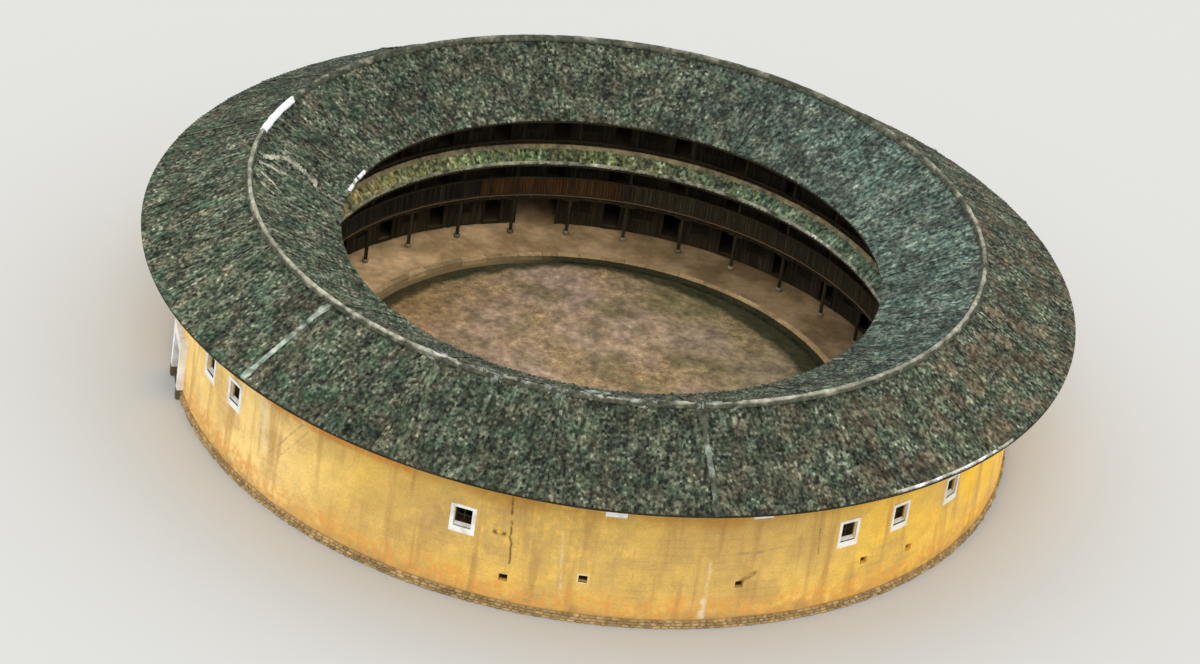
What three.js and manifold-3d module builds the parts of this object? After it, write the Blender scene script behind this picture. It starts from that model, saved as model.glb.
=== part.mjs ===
// Tulou roundhouse: a ring-shaped rammed-earth house of three storeys round a courtyard, at 1:2.
// Units are millimetres of the scale model, +Z is up, and the origin is the centre of the house at
// ground level. full() turns a size of the real house into the model's.
// An azimuth is in degrees about +Z: 0 is the front at -Y, 90 the right at +X, and the gate is at -90.
import * as THREE from 'three';
import { mergeVertices } from 'three/addons/utils/BufferGeometryUtils.js';
import Module from 'manifold-3d';

const SCALE = 1 / 2;
const full = (millimetres) => millimetres * SCALE;

// Rings are made of flat facets, and two facets make one bay of the timber galleries.
const FACETS = 64;
const FACET = 360 / FACETS;
const BAY = 2 * FACET;
const GATE_AZIMUTH = -90;
const HALL_AZIMUTH = 180;

// Clearance between neighbours that bear on each other, across a seat and in half a radial joint.
const SEAT = 0.3;
const HALF_JOINT = 0.0015;

// Azimuths and points nearer to each other than this are the same one.
const SAME_AZIMUTH = 1e-7;
const SAME_POINT = 1e-3;

// Storey levels, from the ground up.
const groundFloorTop = full(350);
const secondFloorTop = full(2900);
const thirdFloorTop = full(5350);
const floorThickness = full(160);
const secondFloorUnderside = secondFloorTop - floorThickness;
const thirdFloorUnderside = thirdFloorTop - floorThickness;

// Ring roof: two slopes that meet at the ridge, measured on top of the tiles.
const eave = { radius: full(24000), height: full(8100) };
const ridge = { radius: full(18800), height: full(10860) };
const innerEave = { radius: full(13900), height: full(8520) };
const roofThickness = full(240);
const ridgeHalfWidth = full(190);
const ridgeRise = full(230);
const ridgeCrestHalfWidth = full(133);

// What is cut right through the wall or the house reaches from and to these radii and heights.
const throughWall = [full(19000), full(23000)];
const farBelow = full(-1000);
const farAbove = full(12000);

// Rammed-earth wall on its stone footing. It is thinner above each floor, which rests on the ledge.
const wallFootRadius = full(21600);
const wallTopRadius = full(21450);
const wallInnerRadii = [full(20300), full(20500), full(20700)];
const footingTop = full(500);
const footingOuterRadius = full(21750);
const footingShoulderRadius = full(21690);
const footingInnerRadius = full(20200);
const wallJoints = {
  outer_wall_left_front: [-90, -49],
  outer_wall_front_left: [-49, 0],
  outer_wall_front_right: [0, 37.5],
  outer_wall_right_front: [37.5, 78.5],
  outer_wall_right: [78.5, 118.7],
  outer_wall_right_back: [118.7, 163.5],
  outer_wall_back_right: [163.5, 186],
  outer_wall_back_left: [186, 208.5],
  outer_wall_left_back: [208.5, 270],
};

// Windows stand in two rows, and the vents are small holes low in the wall.
const windowWidth = full(900);
const windowHeight = full(1050);
const secondStoreyWindows = {
  height: full(4450),
  azimuths: [-76, -68.5, -29, 23, 32, 43, 67, 90, 113, 136, 158, 180, 203, 225, 248],
};
const thirdStoreyWindows = {
  height: full(6930),
  azimuths: [-9.7, 9.6, 101.5, 124.5, 147, 169, 191.5, 214, 236.5],
};
const ventWidth = full(430);
const ventHeight = full(380);
const vents = [
  { azimuth: -22.8, height: full(1740) },
  { azimuth: -12.7, height: full(2450) },
  { azimuth: 7.7, height: full(2400) },
  { azimuth: 26.5, height: full(2450) },
  { azimuth: 34.9, height: full(2150) },
];

// Gate: a plain opening with a whitewashed surround, which stands proud of the wall.
const gateWidth = full(1900);
const gateTop = full(2640);
const surroundWidth = full(2700);
const surroundTop = full(3200);
const surroundFace = full(21880);
const surroundBack = full(21300);
const thresholdTop = full(300);

// Courtyard and the raised ring that carries the veranda and the ground-floor rooms.
const courtRadius = full(13120);
const courtTop = full(120);
const drainOuterRadius = full(13500);
const drainTop = full(40);
const drainLap = full(200);
const verandaRadius = full(13500);

// Timber fronts of the rooms, with a doorway in each bay and a wide opening at gate and hall.
const frontInnerRadius = full(17040);
const frontOuterRadius = full(17160);
const thirdFrontTop = full(8300);
const doorwayWidth = full(900);
const doorwayHeight = full(1950);
const wideOpeningWidth = full(2300);
const wideOpeningHeight = full(2200);
const throughFront = [frontInnerRadius - full(500), frontOuterRadius + full(500)];

// Gallery posts under ring beams, the floors' courtyard edges, and the balustrades on them.
const postRadius = full(16000);
const postDepth = full(170);
const postWidth = full(180);
const beamHalfWidth = full(100);
const beamHeight = full(200);
const postTenon = full(100);
const secondFloorInnerRadius = full(15650);
const thirdFloorInnerRadius = full(15400);
const balustradeInnerRadius = full(15700);
const balustradeOuterRadius = full(15780);
const secondRailTop = full(4000);
const thirdRailTop = full(6300);

// Tiled waist roof, which lies on the third floor's edge and leans on its balustrade.
const waistEave = { radius: full(14900), height: full(5300) };
const waistHead = { radius: balustradeInnerRadius - SEAT, height: full(5980) };
const waistEaveThickness = full(150);

// Ridge purlin, on posts that stand on the third floor.
const purlinHalfWidth = full(110);
const purlinUnderside = full(10250);
const purlinPostWidth = full(180);
const purlinPostSpacing = 2 * BAY;

const wasm = await Module();
wasm.setup();

const radians = THREE.MathUtils.degToRad;

// A facet is flat, so between its two corners a ring comes nearer to the axis.
function facetRadius(radius, azimuth) {
  const middle = (Math.floor(azimuth / FACET + SAME_AZIMUTH) + 0.5) * FACET;
  return radius * Math.cos(radians(FACET / 2)) / Math.cos(radians(azimuth - middle));
}

function isCorner(azimuth) {
  return Math.abs(azimuth / FACET - Math.round(azimuth / FACET)) < SAME_AZIMUTH;
}

// Azimuths where a ring's facets begin and end between two given ones.
function stationsBetween(from, to) {
  const stations = [from];
  for (let corner = Math.floor(from / FACET) + 1; corner * FACET < to - SAME_AZIMUTH; corner += 1) {
    if (corner * FACET > from + SAME_AZIMUTH) {
      stations.push(corner * FACET);
    }
  }
  stations.push(to);
  return stations;
}

// A solid swept about +Z: profile is a list of [radius, height], anticlockwise with radius to the right.
function sweep(profile, from, to) {
  const isClosed = to - from >= 360;
  const stations = stationsBetween(from, to);
  if (isClosed) {
    stations.pop();
  }
  const positions = [];
  for (const azimuth of stations) {
    for (const [radius, height] of profile) {
      const reach = isCorner(azimuth) ? radius : facetRadius(radius, azimuth);
      positions.push(reach * Math.sin(radians(azimuth)), -reach * Math.cos(radians(azimuth)), height);
    }
  }
  const index = [];
  const count = profile.length;
  const spans = isClosed ? stations.length : stations.length - 1;
  for (let span = 0; span < spans; span += 1) {
    const near = span * count;
    const far = ((span + 1) % stations.length) * count;
    for (let point = 0; point < count; point += 1) {
      const next = (point + 1) % count;
      index.push(near + point, far + point, far + next);
      index.push(near + point, far + next, near + next);
    }
  }
  if (!isClosed) {
    const outline = profile.map(([radius, height]) => new THREE.Vector2(radius, height));
    const last = (stations.length - 1) * count;
    for (const [a, b, c] of THREE.ShapeUtils.triangulateShape(outline, [])) {
      index.push(a, b, c);
      index.push(last + a, last + c, last + b);
    }
  }
  const geometry = new THREE.BufferGeometry();
  geometry.setAttribute('position', new THREE.Float32BufferAttribute(positions, 3));
  geometry.setIndex(index);
  return geometry;
}

// Part of a ring between two azimuths, a little short of its neighbour at each end.
function ringPart(profile, from, to) {
  return sweep(profile, from + HALF_JOINT, to - HALF_JOINT);
}

function fullRing(profile) {
  return sweep(profile, 0, 360);
}

// A rectangular profile between two radii and two heights.
function band(innerRadius, outerRadius, low, high) {
  return [[innerRadius, low], [outerRadius, low], [outerRadius, high], [innerRadius, high]];
}

// A box whose width runs round the house and whose depth runs out from its centre.
function block(azimuth, innerRadius, outerRadius, width, low, high) {
  const geometry = new THREE.BoxGeometry(width, outerRadius - innerRadius, high - low);
  geometry.translate(0, -(innerRadius + outerRadius) / 2, (low + high) / 2);
  geometry.rotateZ(radians(azimuth));
  return geometry;
}

function toSolid(geometry) {
  const bare = geometry.clone();
  bare.deleteAttribute('normal');
  bare.deleteAttribute('uv');
  const merged = mergeVertices(bare, SAME_POINT);
  return new wasm.Manifold(new wasm.Mesh({
    numProp: 3,
    vertProperties: new Float32Array(merged.attributes.position.array),
    triVerts: new Uint32Array(merged.index.array),
  }));
}

function toGeometry(solid) {
  const mesh = solid.getMesh();
  const geometry = new THREE.BufferGeometry();
  geometry.setAttribute('position', new THREE.Float32BufferAttribute(mesh.vertProperties, 3));
  geometry.setIndex([...mesh.triVerts]);
  return geometry;
}

function cut(geometry, cutters) {
  let solid = toSolid(geometry);
  for (const cutter of cutters) {
    solid = solid.subtract(toSolid(cutter));
  }
  return toGeometry(solid);
}

function join(geometry, additions) {
  let solid = toSolid(geometry);
  for (const addition of additions) {
    solid = solid.add(toSolid(addition));
  }
  return toGeometry(solid);
}

function intersect(geometry, other) {
  return toGeometry(toSolid(geometry).intersect(toSolid(other)));
}

// Height of the tile surface at a radius on either slope.
function slopeHeight(low, radius) {
  const share = (radius - low.radius) / (ridge.radius - low.radius);
  return low.height + share * (ridge.height - low.height);
}

function outerSlope(radius) {
  return slopeHeight(eave, radius);
}

function innerSlope(radius) {
  return slopeHeight(innerEave, radius);
}

function shade(color, roughness) {
  return new THREE.MeshStandardMaterial({ color, roughness, metalness: 0, flatShading: true });
}

const rammedEarth = shade(0xd3a557, 0.95);
const fieldStone = shade(0x8c8270, 0.95);
const limewash = shade(0xe4ddcb, 0.9);
const roofTile = shade(0x4b4f49, 0.9);
const ridgeMortar = shade(0xa3a193, 0.9);
const oldTimber = shade(0x4a2f1c, 0.85);
const floorBoards = shade(0x6b4a30, 0.85);
const beatenFloor = shade(0xa38468, 0.95);

const house = new THREE.Group();

function addPiece(name, geometry, material) {
  const mesh = new THREE.Mesh(geometry, material);
  mesh.name = name;
  house.add(mesh);
}

// Footing: two halves of stone, open at the gate, where a threshold closes them.
function addFooting() {
  const profile = [
    [footingInnerRadius, 0],
    [footingOuterRadius, 0],
    [footingShoulderRadius, footingTop - SEAT],
    [footingInnerRadius, footingTop - SEAT],
  ];
  const opening = block(GATE_AZIMUTH, ...throughWall, gateWidth, farBelow, farAbove);
  addPiece('footing_front', cut(ringPart(profile, -90, 90), [opening]), fieldStone);
  addPiece('footing_back', cut(ringPart(profile, 90, 270), [opening]), fieldStone);
  const threshold = block(
    GATE_AZIMUTH, footingInnerRadius, footingShoulderRadius, gateWidth - 2 * SEAT, 0, thresholdTop,
  );
  addPiece('gate_threshold', threshold, fieldStone);
}

function wallProfile(clearance) {
  const [ground, second, third] = wallInnerRadii;
  return [
    [ground, footingTop - clearance],
    [wallFootRadius + clearance, footingTop - clearance],
    [wallTopRadius + clearance, outerSlope(wallTopRadius) - roofThickness - SEAT],
    [third, outerSlope(third) - roofThickness - SEAT],
    [third, thirdFloorUnderside - SEAT],
    [second, thirdFloorUnderside - SEAT],
    [second, secondFloorUnderside - SEAT],
    [ground, secondFloorUnderside - SEAT],
  ];
}

// A hole through the wall, square to it, about a centre height.
function wallHole(azimuth, width, centre, height) {
  const low = centre - height / 2;
  return block(azimuth, ...throughWall, width, low, low + height);
}

function wallHoles() {
  const holes = [];
  for (const row of [secondStoreyWindows, thirdStoreyWindows]) {
    for (const azimuth of row.azimuths) {
      holes.push({ azimuth, geometry: wallHole(azimuth, windowWidth, row.height, windowHeight) });
    }
  }
  for (const vent of vents) {
    const geometry = wallHole(vent.azimuth, ventWidth, vent.height, ventHeight);
    holes.push({ azimuth: vent.azimuth, geometry });
  }
  return holes;
}

// Outer wall: segments between the joints, and a piece over the gate.
function addOuterWall() {
  const gateSlot = block(GATE_AZIMUTH, ...throughWall, gateWidth, farBelow, farAbove);
  const holes = wallHoles();
  for (const [name, [from, to]] of Object.entries(wallJoints)) {
    const cutters = holes.filter((hole) => hole.azimuth > from && hole.azimuth < to);
    const shapes = cutters.map((hole) => hole.geometry);
    const touchesGate = from === GATE_AZIMUTH || to === GATE_AZIMUTH + 360;
    if (touchesGate) {
      shapes.push(gateSlot);
    }
    addPiece(name, cut(ringPart(wallProfile(0), from, to), shapes), rammedEarth);
  }
  const aboveGate = block(GATE_AZIMUTH, ...throughWall, gateWidth - 2 * SEAT, gateTop, farAbove);
  const nearGate = ringPart(wallProfile(0), GATE_AZIMUTH - FACET, GATE_AZIMUTH + FACET);
  addPiece('outer_wall_over_gate', intersect(nearGate, aboveGate), rammedEarth);
}

// Gate surround: a flat frame fitted to the wall and the footing behind it.
function addGateSurround() {
  const nearGate = [GATE_AZIMUTH - 2 * FACET, GATE_AZIMUTH + 2 * FACET];
  const slab = block(GATE_AZIMUTH, surroundBack, surroundFace, surroundWidth, 0, surroundTop);
  const opening = block(GATE_AZIMUTH, ...throughWall, gateWidth, farBelow, gateTop);
  const footing = [
    [footingInnerRadius, farBelow],
    [footingOuterRadius + SEAT, farBelow],
    [footingOuterRadius + SEAT, 0],
    [footingShoulderRadius + SEAT, footingTop],
    [footingInnerRadius, footingTop],
  ];
  const cutters = [
    opening,
    ringPart(wallProfile(SEAT), ...nearGate),
    ringPart(footing, ...nearGate),
  ];
  addPiece('gate_surround', cut(slab, cutters), limewash);
}

// Ground floor: a raised ring under the rooms and the veranda, and the courtyard with its drain.
function addGroundFloor() {
  const profile = band(verandaRadius, footingInnerRadius - SEAT, 0, groundFloorTop);
  addPiece('ground_floor_front', ringPart(profile, -90, 90), fieldStone);
  addPiece('ground_floor_back', ringPart(profile, 90, 270), fieldStone);
  const court = new THREE.CylinderGeometry(courtRadius, courtRadius, courtTop, FACETS);
  court.rotateX(radians(90));
  court.translate(0, 0, courtTop / 2);
  const drain = fullRing(band(courtRadius - drainLap, drainOuterRadius - SEAT, 0, drainTop));
  addPiece('courtyard_floor', join(court, [drain]), beatenFloor);
}

// A timber front for one storey, with its doorways, in a front and a back half.
function addFronts(storey, low, high, hasWideOpenings) {
  const profile = band(frontInnerRadius, frontOuterRadius, low + SEAT, high - SEAT);
  const doorways = [];
  for (let azimuth = GATE_AZIMUTH; azimuth < GATE_AZIMUTH + 360; azimuth += BAY) {
    const isWide = hasWideOpenings && (azimuth === GATE_AZIMUTH || azimuth === HALL_AZIMUTH);
    if (isWide) {
      doorways.push(block(azimuth, ...throughFront, wideOpeningWidth, low - SEAT, low + wideOpeningHeight));
    } else {
      const middle = azimuth - FACET / 2;
      doorways.push(block(middle, ...throughFront, doorwayWidth, low - SEAT, low + doorwayHeight));
    }
  }
  const jointAzimuth = GATE_AZIMUTH - FACET;
  const front = ringPart(profile, jointAzimuth, jointAzimuth + 180);
  const back = ringPart(profile, jointAzimuth + 180, jointAzimuth + 360);
  addPiece(`${storey}_rooms_front`, cut(front, doorways), oldTimber);
  addPiece(`${storey}_rooms_back`, cut(back, doorways), oldTimber);
}

// Posts at the bay lines under a ring beam, in a front and a back half.
function addPosts(storey, low, beamProfile) {
  const beamUnderside = beamProfile[0][1];
  const jointAzimuth = GATE_AZIMUTH - BAY;
  for (const [side, from] of [['front', jointAzimuth], ['back', jointAzimuth + 180]]) {
    const posts = [];
    for (let azimuth = from + FACET; azimuth < from + 180; azimuth += BAY) {
      posts.push(block(
        azimuth, postRadius - postDepth / 2, postRadius + postDepth / 2, postWidth,
        low + SEAT, beamUnderside + postTenon,
      ));
    }
    const frame = join(ringPart(beamProfile, from, from + 180), posts);
    addPiece(`${storey}_gallery_posts_${side}`, frame, oldTimber);
  }
}

function levelBeam(top) {
  return band(postRadius - beamHalfWidth, postRadius + beamHalfWidth, top - beamHeight, top - SEAT);
}

// The uppermost beam is cut to the inner slope that lies on it.
function roofBeam() {
  const inner = postRadius - beamHalfWidth;
  const outer = postRadius + beamHalfWidth;
  const drop = roofThickness + SEAT;
  return [
    [inner, innerSlope(inner) - drop - beamHeight],
    [outer, innerSlope(inner) - drop - beamHeight],
    [outer, innerSlope(outer) - drop],
    [inner, innerSlope(inner) - drop],
  ];
}

function addUpperFloor(name, innerRadius, outerRadius, underside) {
  const profile = band(innerRadius, outerRadius - SEAT, underside, underside + floorThickness);
  const jointAzimuth = GATE_AZIMUTH - FACET;
  addPiece(`${name}_front`, ringPart(profile, jointAzimuth, jointAzimuth + 180), floorBoards);
  addPiece(`${name}_back`, ringPart(profile, jointAzimuth + 180, jointAzimuth + 360), floorBoards);
}

function addBalustrade(name, floorTop, railTop) {
  const profile = band(balustradeInnerRadius, balustradeOuterRadius, floorTop + SEAT, railTop);
  addPiece(name, fullRing(profile), oldTimber);
}

// Waist roof: its flat underside bears on the floor's edge, and its eave stands out over the court.
function addWaistRoof() {
  const seatHeight = thirdFloorTop + SEAT;
  const profile = [
    [waistEave.radius, waistEave.height - waistEaveThickness],
    [thirdFloorInnerRadius, seatHeight],
    [waistHead.radius, seatHeight],
    [waistHead.radius, waistHead.height],
    [waistEave.radius, waistEave.height],
  ];
  addPiece('waist_roof_front', ringPart(profile, -90, 90), roofTile);
  addPiece('waist_roof_back', ringPart(profile, 90, 270), roofTile);
}

// The two slopes, each of one thickness, with a plumb face at the ridge.
function addRoofSlopes() {
  const outerJoint = ridge.radius + SEAT / 2;
  const outer = [
    [outerJoint, outerSlope(outerJoint) - roofThickness],
    [eave.radius, eave.height - roofThickness],
    [eave.radius, eave.height],
    [outerJoint, outerSlope(outerJoint)],
  ];
  const innerJoint = ridge.radius - SEAT / 2;
  const inner = [
    [innerEave.radius, innerEave.height - roofThickness],
    [innerJoint, innerSlope(innerJoint) - roofThickness],
    [innerJoint, innerSlope(innerJoint)],
    [innerEave.radius, innerEave.height],
  ];
  addPiece('outer_roof_front', ringPart(outer, -90, 90), roofTile);
  addPiece('outer_roof_back', ringPart(outer, 90, 270), roofTile);
  addPiece('inner_roof_front', ringPart(inner, -90, 90), roofTile);
  addPiece('inner_roof_back', ringPart(inner, 90, 270), roofTile);
}

// Ridge: a low band of mortar and tile that sits astride the joint of the slopes.
function addRidge() {
  const innerFoot = ridge.radius - ridgeHalfWidth;
  const outerFoot = ridge.radius + ridgeHalfWidth;
  const crest = ridge.height + ridgeRise;
  addPiece('roof_ridge', fullRing([
    [innerFoot, innerSlope(innerFoot) + SEAT],
    [ridge.radius, ridge.height + SEAT],
    [outerFoot, outerSlope(outerFoot) + SEAT],
    [ridge.radius + ridgeCrestHalfWidth, crest],
    [ridge.radius - ridgeCrestHalfWidth, crest],
  ]), ridgeMortar);
}

// Ridge purlin: two half rings that carry both slopes, each on its posts.
function addRidgePurlin() {
  const inner = ridge.radius - purlinHalfWidth;
  const outer = ridge.radius + purlinHalfWidth;
  const drop = roofThickness + SEAT;
  const profile = [
    [inner, purlinUnderside],
    [outer, purlinUnderside],
    [outer, outerSlope(outer) - drop],
    [ridge.radius, ridge.height - drop],
    [inner, innerSlope(inner) - drop],
  ];
  const jointAzimuth = GATE_AZIMUTH - BAY;
  for (const [side, from] of [['front', jointAzimuth], ['back', jointAzimuth + 180]]) {
    const posts = [];
    for (let azimuth = from + FACET + BAY; azimuth < from + 180; azimuth += purlinPostSpacing) {
      posts.push(block(
        azimuth, ridge.radius - purlinPostWidth / 2, ridge.radius + purlinPostWidth / 2,
        purlinPostWidth, thirdFloorTop + SEAT, purlinUnderside + postTenon,
      ));
    }
    const frame = join(ringPart(profile, from, from + 180), posts);
    addPiece(`ridge_purlin_and_posts_${side}`, frame, oldTimber);
  }
}

addFooting();
addOuterWall();
addGateSurround();
addGroundFloor();

addFronts('ground_floor', groundFloorTop, secondFloorUnderside, true);
addPosts('ground_floor', groundFloorTop, levelBeam(secondFloorUnderside));
addUpperFloor('second_floor', secondFloorInnerRadius, wallInnerRadii[1], secondFloorUnderside);

addFronts('second_floor', secondFloorTop, thirdFloorUnderside, false);
addPosts('second_floor', secondFloorTop, levelBeam(thirdFloorUnderside));
addBalustrade('second_floor_balustrade', secondFloorTop, secondRailTop);
addUpperFloor('third_floor', thirdFloorInnerRadius, wallInnerRadii[2], thirdFloorUnderside);

addFronts('third_floor', thirdFloorTop, thirdFrontTop, false);
addPosts('third_floor', thirdFloorTop, roofBeam());
addBalustrade('third_floor_balustrade', thirdFloorTop, thirdRailTop);
addWaistRoof();

addRoofSlopes();
addRidge();
addRidgePurlin();

export default house;
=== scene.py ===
"""Tulou roundhouse at 1:2: the visible surfaces of the house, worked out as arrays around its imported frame.

A place on the house is a radius, an azimuth and a height. The azimuth is in degrees about +Z: 0 is the front
at -Y, 90 the right at +X, and the gate is at -90.
"""
from collections import namedtuple

import bpy
import numpy as np
from mathutils import Matrix, Vector


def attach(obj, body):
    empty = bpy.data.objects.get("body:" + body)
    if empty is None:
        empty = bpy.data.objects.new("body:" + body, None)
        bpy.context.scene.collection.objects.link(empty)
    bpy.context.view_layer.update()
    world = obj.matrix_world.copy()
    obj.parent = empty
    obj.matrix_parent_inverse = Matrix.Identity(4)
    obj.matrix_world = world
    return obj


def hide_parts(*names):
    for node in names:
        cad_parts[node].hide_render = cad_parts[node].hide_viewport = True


# Sizes are those of the real house, in metres. This is one of its metres in the model's own metres, which the
# points, the UVs and the finishes use.
METRE = 0.5

# The camera stands where the photograph was taken from, and its lens frames the whole house.
CAMERA_AZIMUTH = -15.3
CAMERA_DISTANCE = 201.2
CAMERA_HEIGHT = 119.5
CAMERA_ROLL = 8.73
CAMERA_AIM = 3.6
CAMERA_LENS = 135
SENSOR_WIDTH = 36
FARTHEST_SEEN = 3000

# Studio: half the floor's side, and the light. Angles are in degrees.
STUDIO_REACH = 900
SKY_STRENGTH = 1.3
SUN_STRENGTH = 0.8
SUN_BREADTH = 30
SUN_TURN = (42, 0, -15)
SUN_COLOUR = (1.0, 0.95, 0.86)

# Roof slopes on top of the tiles, each with its head at the ridge.
Slope = namedtuple("Slope", "head_radius head_height eave_radius eave_height")
OUTER = Slope(18.8, 10.86, 24.0, 8.1)
INNER = Slope(18.8, 10.86, 13.9, 8.52)
WAIST = Slope(15.69, 5.98, 14.9, 5.3)
ROOF_DEPTH = 0.24

# Tiles lie in columns. The slopes are laid in sectors whose columns are parallel, with a seam between.
TILE_PITCH = 0.25
TILE_EXPOSURE = 0.13
TILE_WAVE = 0.065
TILE_THICKNESS = 0.025
DEEPEST_SAG = 0.04
POINTS_ACROSS = 6
SECTOR = 20
FIRST_SEAM = -79
SHEATHING_TOP = 0.11
SHEATHING_DEPTH = 0.025
RAFTER_WIDTH = 0.09

# The ridge's top above the line where the slopes meet.
RIDGE_RISE = 0.22

# Rammed-earth wall and its stone footing.
WALL_FOOT_RADIUS = 21.6
WALL_TOP_RADIUS = 21.45
WALL_TOP_HEIGHT = 9.21
WALL_INNER_RADII = (20.3, 20.5, 20.7)
FOOTING_TOP = 0.5
FOOTING_RADIUS = 21.72
FOOTING_INNER_RADIUS = 20.2
FOOTING_COURSES = 3

# Storeys.
GROUND_FLOOR = 0.35
SECOND_FLOOR = 2.9
THIRD_FLOOR = 5.35
FLOOR_DEPTH = 0.16
BOARD_DEPTH = 0.04
JOISTS = 128
JOIST_HALF_WIDTH = 0.055
THIRD_FRONT_TOP = 8.3

# Openings of the outer wall, with the plaster round them.
WINDOW_HALF_WIDTH = 0.45
WINDOW_HALF_HEIGHT = 0.525
SECOND_WINDOW_HEIGHT = 4.45
SECOND_WINDOWS = (-76, -68.5, -29, 23, 32, 43, 67, 90, 113, 136, 158, 180, 203, 225, 248)
THIRD_WINDOW_HEIGHT = 6.93
THIRD_WINDOWS = (-9.7, 9.6, 101.5, 124.5, 147, 169, 191.5, 214, 236.5)
WINDOW_AZIMUTHS = np.array(SECOND_WINDOWS + THIRD_WINDOWS)
WINDOW_COUNTS = (len(SECOND_WINDOWS), len(THIRD_WINDOWS))
WINDOW_MIDDLES = np.repeat((SECOND_WINDOW_HEIGHT, THIRD_WINDOW_HEIGHT), WINDOW_COUNTS)
WINDOW_BOTTOMS = WINDOW_MIDDLES - WINDOW_HALF_HEIGHT
WINDOW_TOPS = WINDOW_MIDDLES + WINDOW_HALF_HEIGHT
VENT_HALF_WIDTH = 0.215
VENT_HALF_HEIGHT = 0.19
VENTS = ((-22.8, 1.74), (-12.7, 2.45), (7.7, 2.40), (26.5, 2.45), (34.9, 2.15))
RIMMED_VENT = (-12.7, 2.45)
VENT_RIM = 0.09
BORDER = 0.2
THIRD_BORDER = 0.07
BORDER_BELOW = 0.33
PLASTER_DEPTH = 0.012
WINDOW_TIMBER_BACK = 0.34
WINDOW_TIMBER_FRONT = 0.27
GATE_AZIMUTH = -90
HALL_AZIMUTH = 180
GATE_HALF_WIDTH = 0.95
GATE_TOP = 2.64
SURROUND_HALF_WIDTH = 1.35
SURROUND_TOP = 3.2
SURROUND_RADIUS = 21.87
SURROUND_BACK = 21.4
BLOCK_TOP = 0.55
DOOR_FRAME = (20.9, 21.1)

# Courtyard.
COURT_RADIUS = 13.12
COURT_TOP = 0.12
DRAIN_RADIUS = 13.5
DRAIN_TOP = 0.04
KERB_RADIUS = 13.88

# Timber galleries: 32 bays of room fronts, posts and balustrades.
BAY = 11.25
BAYS = np.arange(32) * BAY
POST_AZIMUTHS = BAYS + BAY / 2
FRONT_NEAR = 17.04
FRONT_FAR = 17.16
FRONT_MIDDLE = (FRONT_NEAR + FRONT_FAR) / 2
STUD = 0.07
POST_RING = 16.0
POST_RADIUS = 0.095
BASE_HEIGHTS = np.array([0, 0.05, 0.12, 0.19, 0.22])
BASE_RADII = np.array([0.15, 0.17, 0.185, 0.165, 0.14])
BEAM_HALF_WIDTH = 0.1
BEAM_HEIGHT = 0.2
SECOND_FLOOR_EDGE = 15.65
THIRD_FLOOR_EDGE = 15.4
BALUSTRADE_NEAR = 15.7
BALUSTRADE_FAR = 15.78
SPINDLES = 576
SECOND_RAIL_TOP = 4.0
THIRD_RAIL_TOP = 6.3

# Points nearer to each other than this are one point of a welded mesh.
SAME_POINT = 1e-5

UP = np.array((0, 0, 1))


def pair(first, second):
    """Two values for each point, such as a UV."""
    return np.stack(np.broadcast_arrays(first, second), -1)


def round_angles(count, shift=0.0):
    """Even angles round a circle."""
    return (np.arange(count) + shift) * 2 * np.pi / count


def section(near, far, low, high):
    """Corners of a beam's section as radii and heights. Low and high may be a pair, one for each side."""
    low_near, low_far = np.broadcast_to(low, 2)
    high_near, high_far = np.broadcast_to(high, 2)
    return [(near, low_near), (far, low_far), (far, high_far), (near, high_near)]


def on_ring(radius, azimuth, height):
    """Points at a radius, an azimuth in degrees and a height, in the house's frame."""
    angle = np.radians(azimuth)
    return np.stack(np.broadcast_arrays(radius * np.sin(angle), -radius * np.cos(angle), height), -1)


def slope_height(slope, radius):
    """Height of the tiles at a radius: a straight line from the head of the slope to its eave."""
    share = (radius - slope.eave_radius) / (slope.head_radius - slope.eave_radius)
    return slope.eave_height + share * (slope.head_height - slope.eave_height)


def wall_radius(height):
    """Radius of the wall's face at a height: a straight batter from foot to top."""
    share = (height - FOOTING_TOP) / (WALL_TOP_HEIGHT - FOOTING_TOP)
    return WALL_FOOT_RADIUS + share * (WALL_TOP_RADIUS - WALL_FOOT_RADIUS)


def drift(points, length, seed):
    """Smooth unevenness, mostly between -1 and 1: a sum of sine waves of about one length, each in a random
    direction."""
    waves = 14
    chance = np.random.default_rng(seed)
    direction = chance.normal(size=(waves, 3))
    direction /= np.linalg.norm(direction, axis=1, keepdims=True)
    lengths = length * chance.uniform(0.6, 1.7, waves)
    phase = chance.uniform(0, 2 * np.pi, waves)
    angle = points @ (direction / lengths[:, None]).T * 2 * np.pi + phase
    return np.sin(angle).sum(-1) / np.sqrt(2 * waves)


def near_azimuth(azimuth, centre, half_width, fade):
    """1 within the half width of a centre azimuth, going down to 0 over the fade."""
    away = np.abs((azimuth - centre + 180) % 360 - 180)
    return np.clip((half_width + fade - away) / fade, 0, 1)


def grid_faces(rows, columns, is_tube=False):
    """Four-cornered faces between neighbouring points of a grid. A tube's last column joins its first."""
    row, column = np.meshgrid(np.arange(rows - 1), np.arange(columns - (not is_tube)), indexing="ij")
    beside = (column + 1) % columns
    corners = (row * columns + column, row * columns + beside, (row + 1) * columns + beside)
    return np.stack((*corners, (row + 1) * columns + column), -1).reshape(-1, 4)


def face_normals(points, faces):
    """A vector square to each face, as long as twice its area."""
    corner = points[faces]
    return np.cross(corner[:, 2] - corner[:, 0], corner[:, 3] - corner[:, 1])


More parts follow.
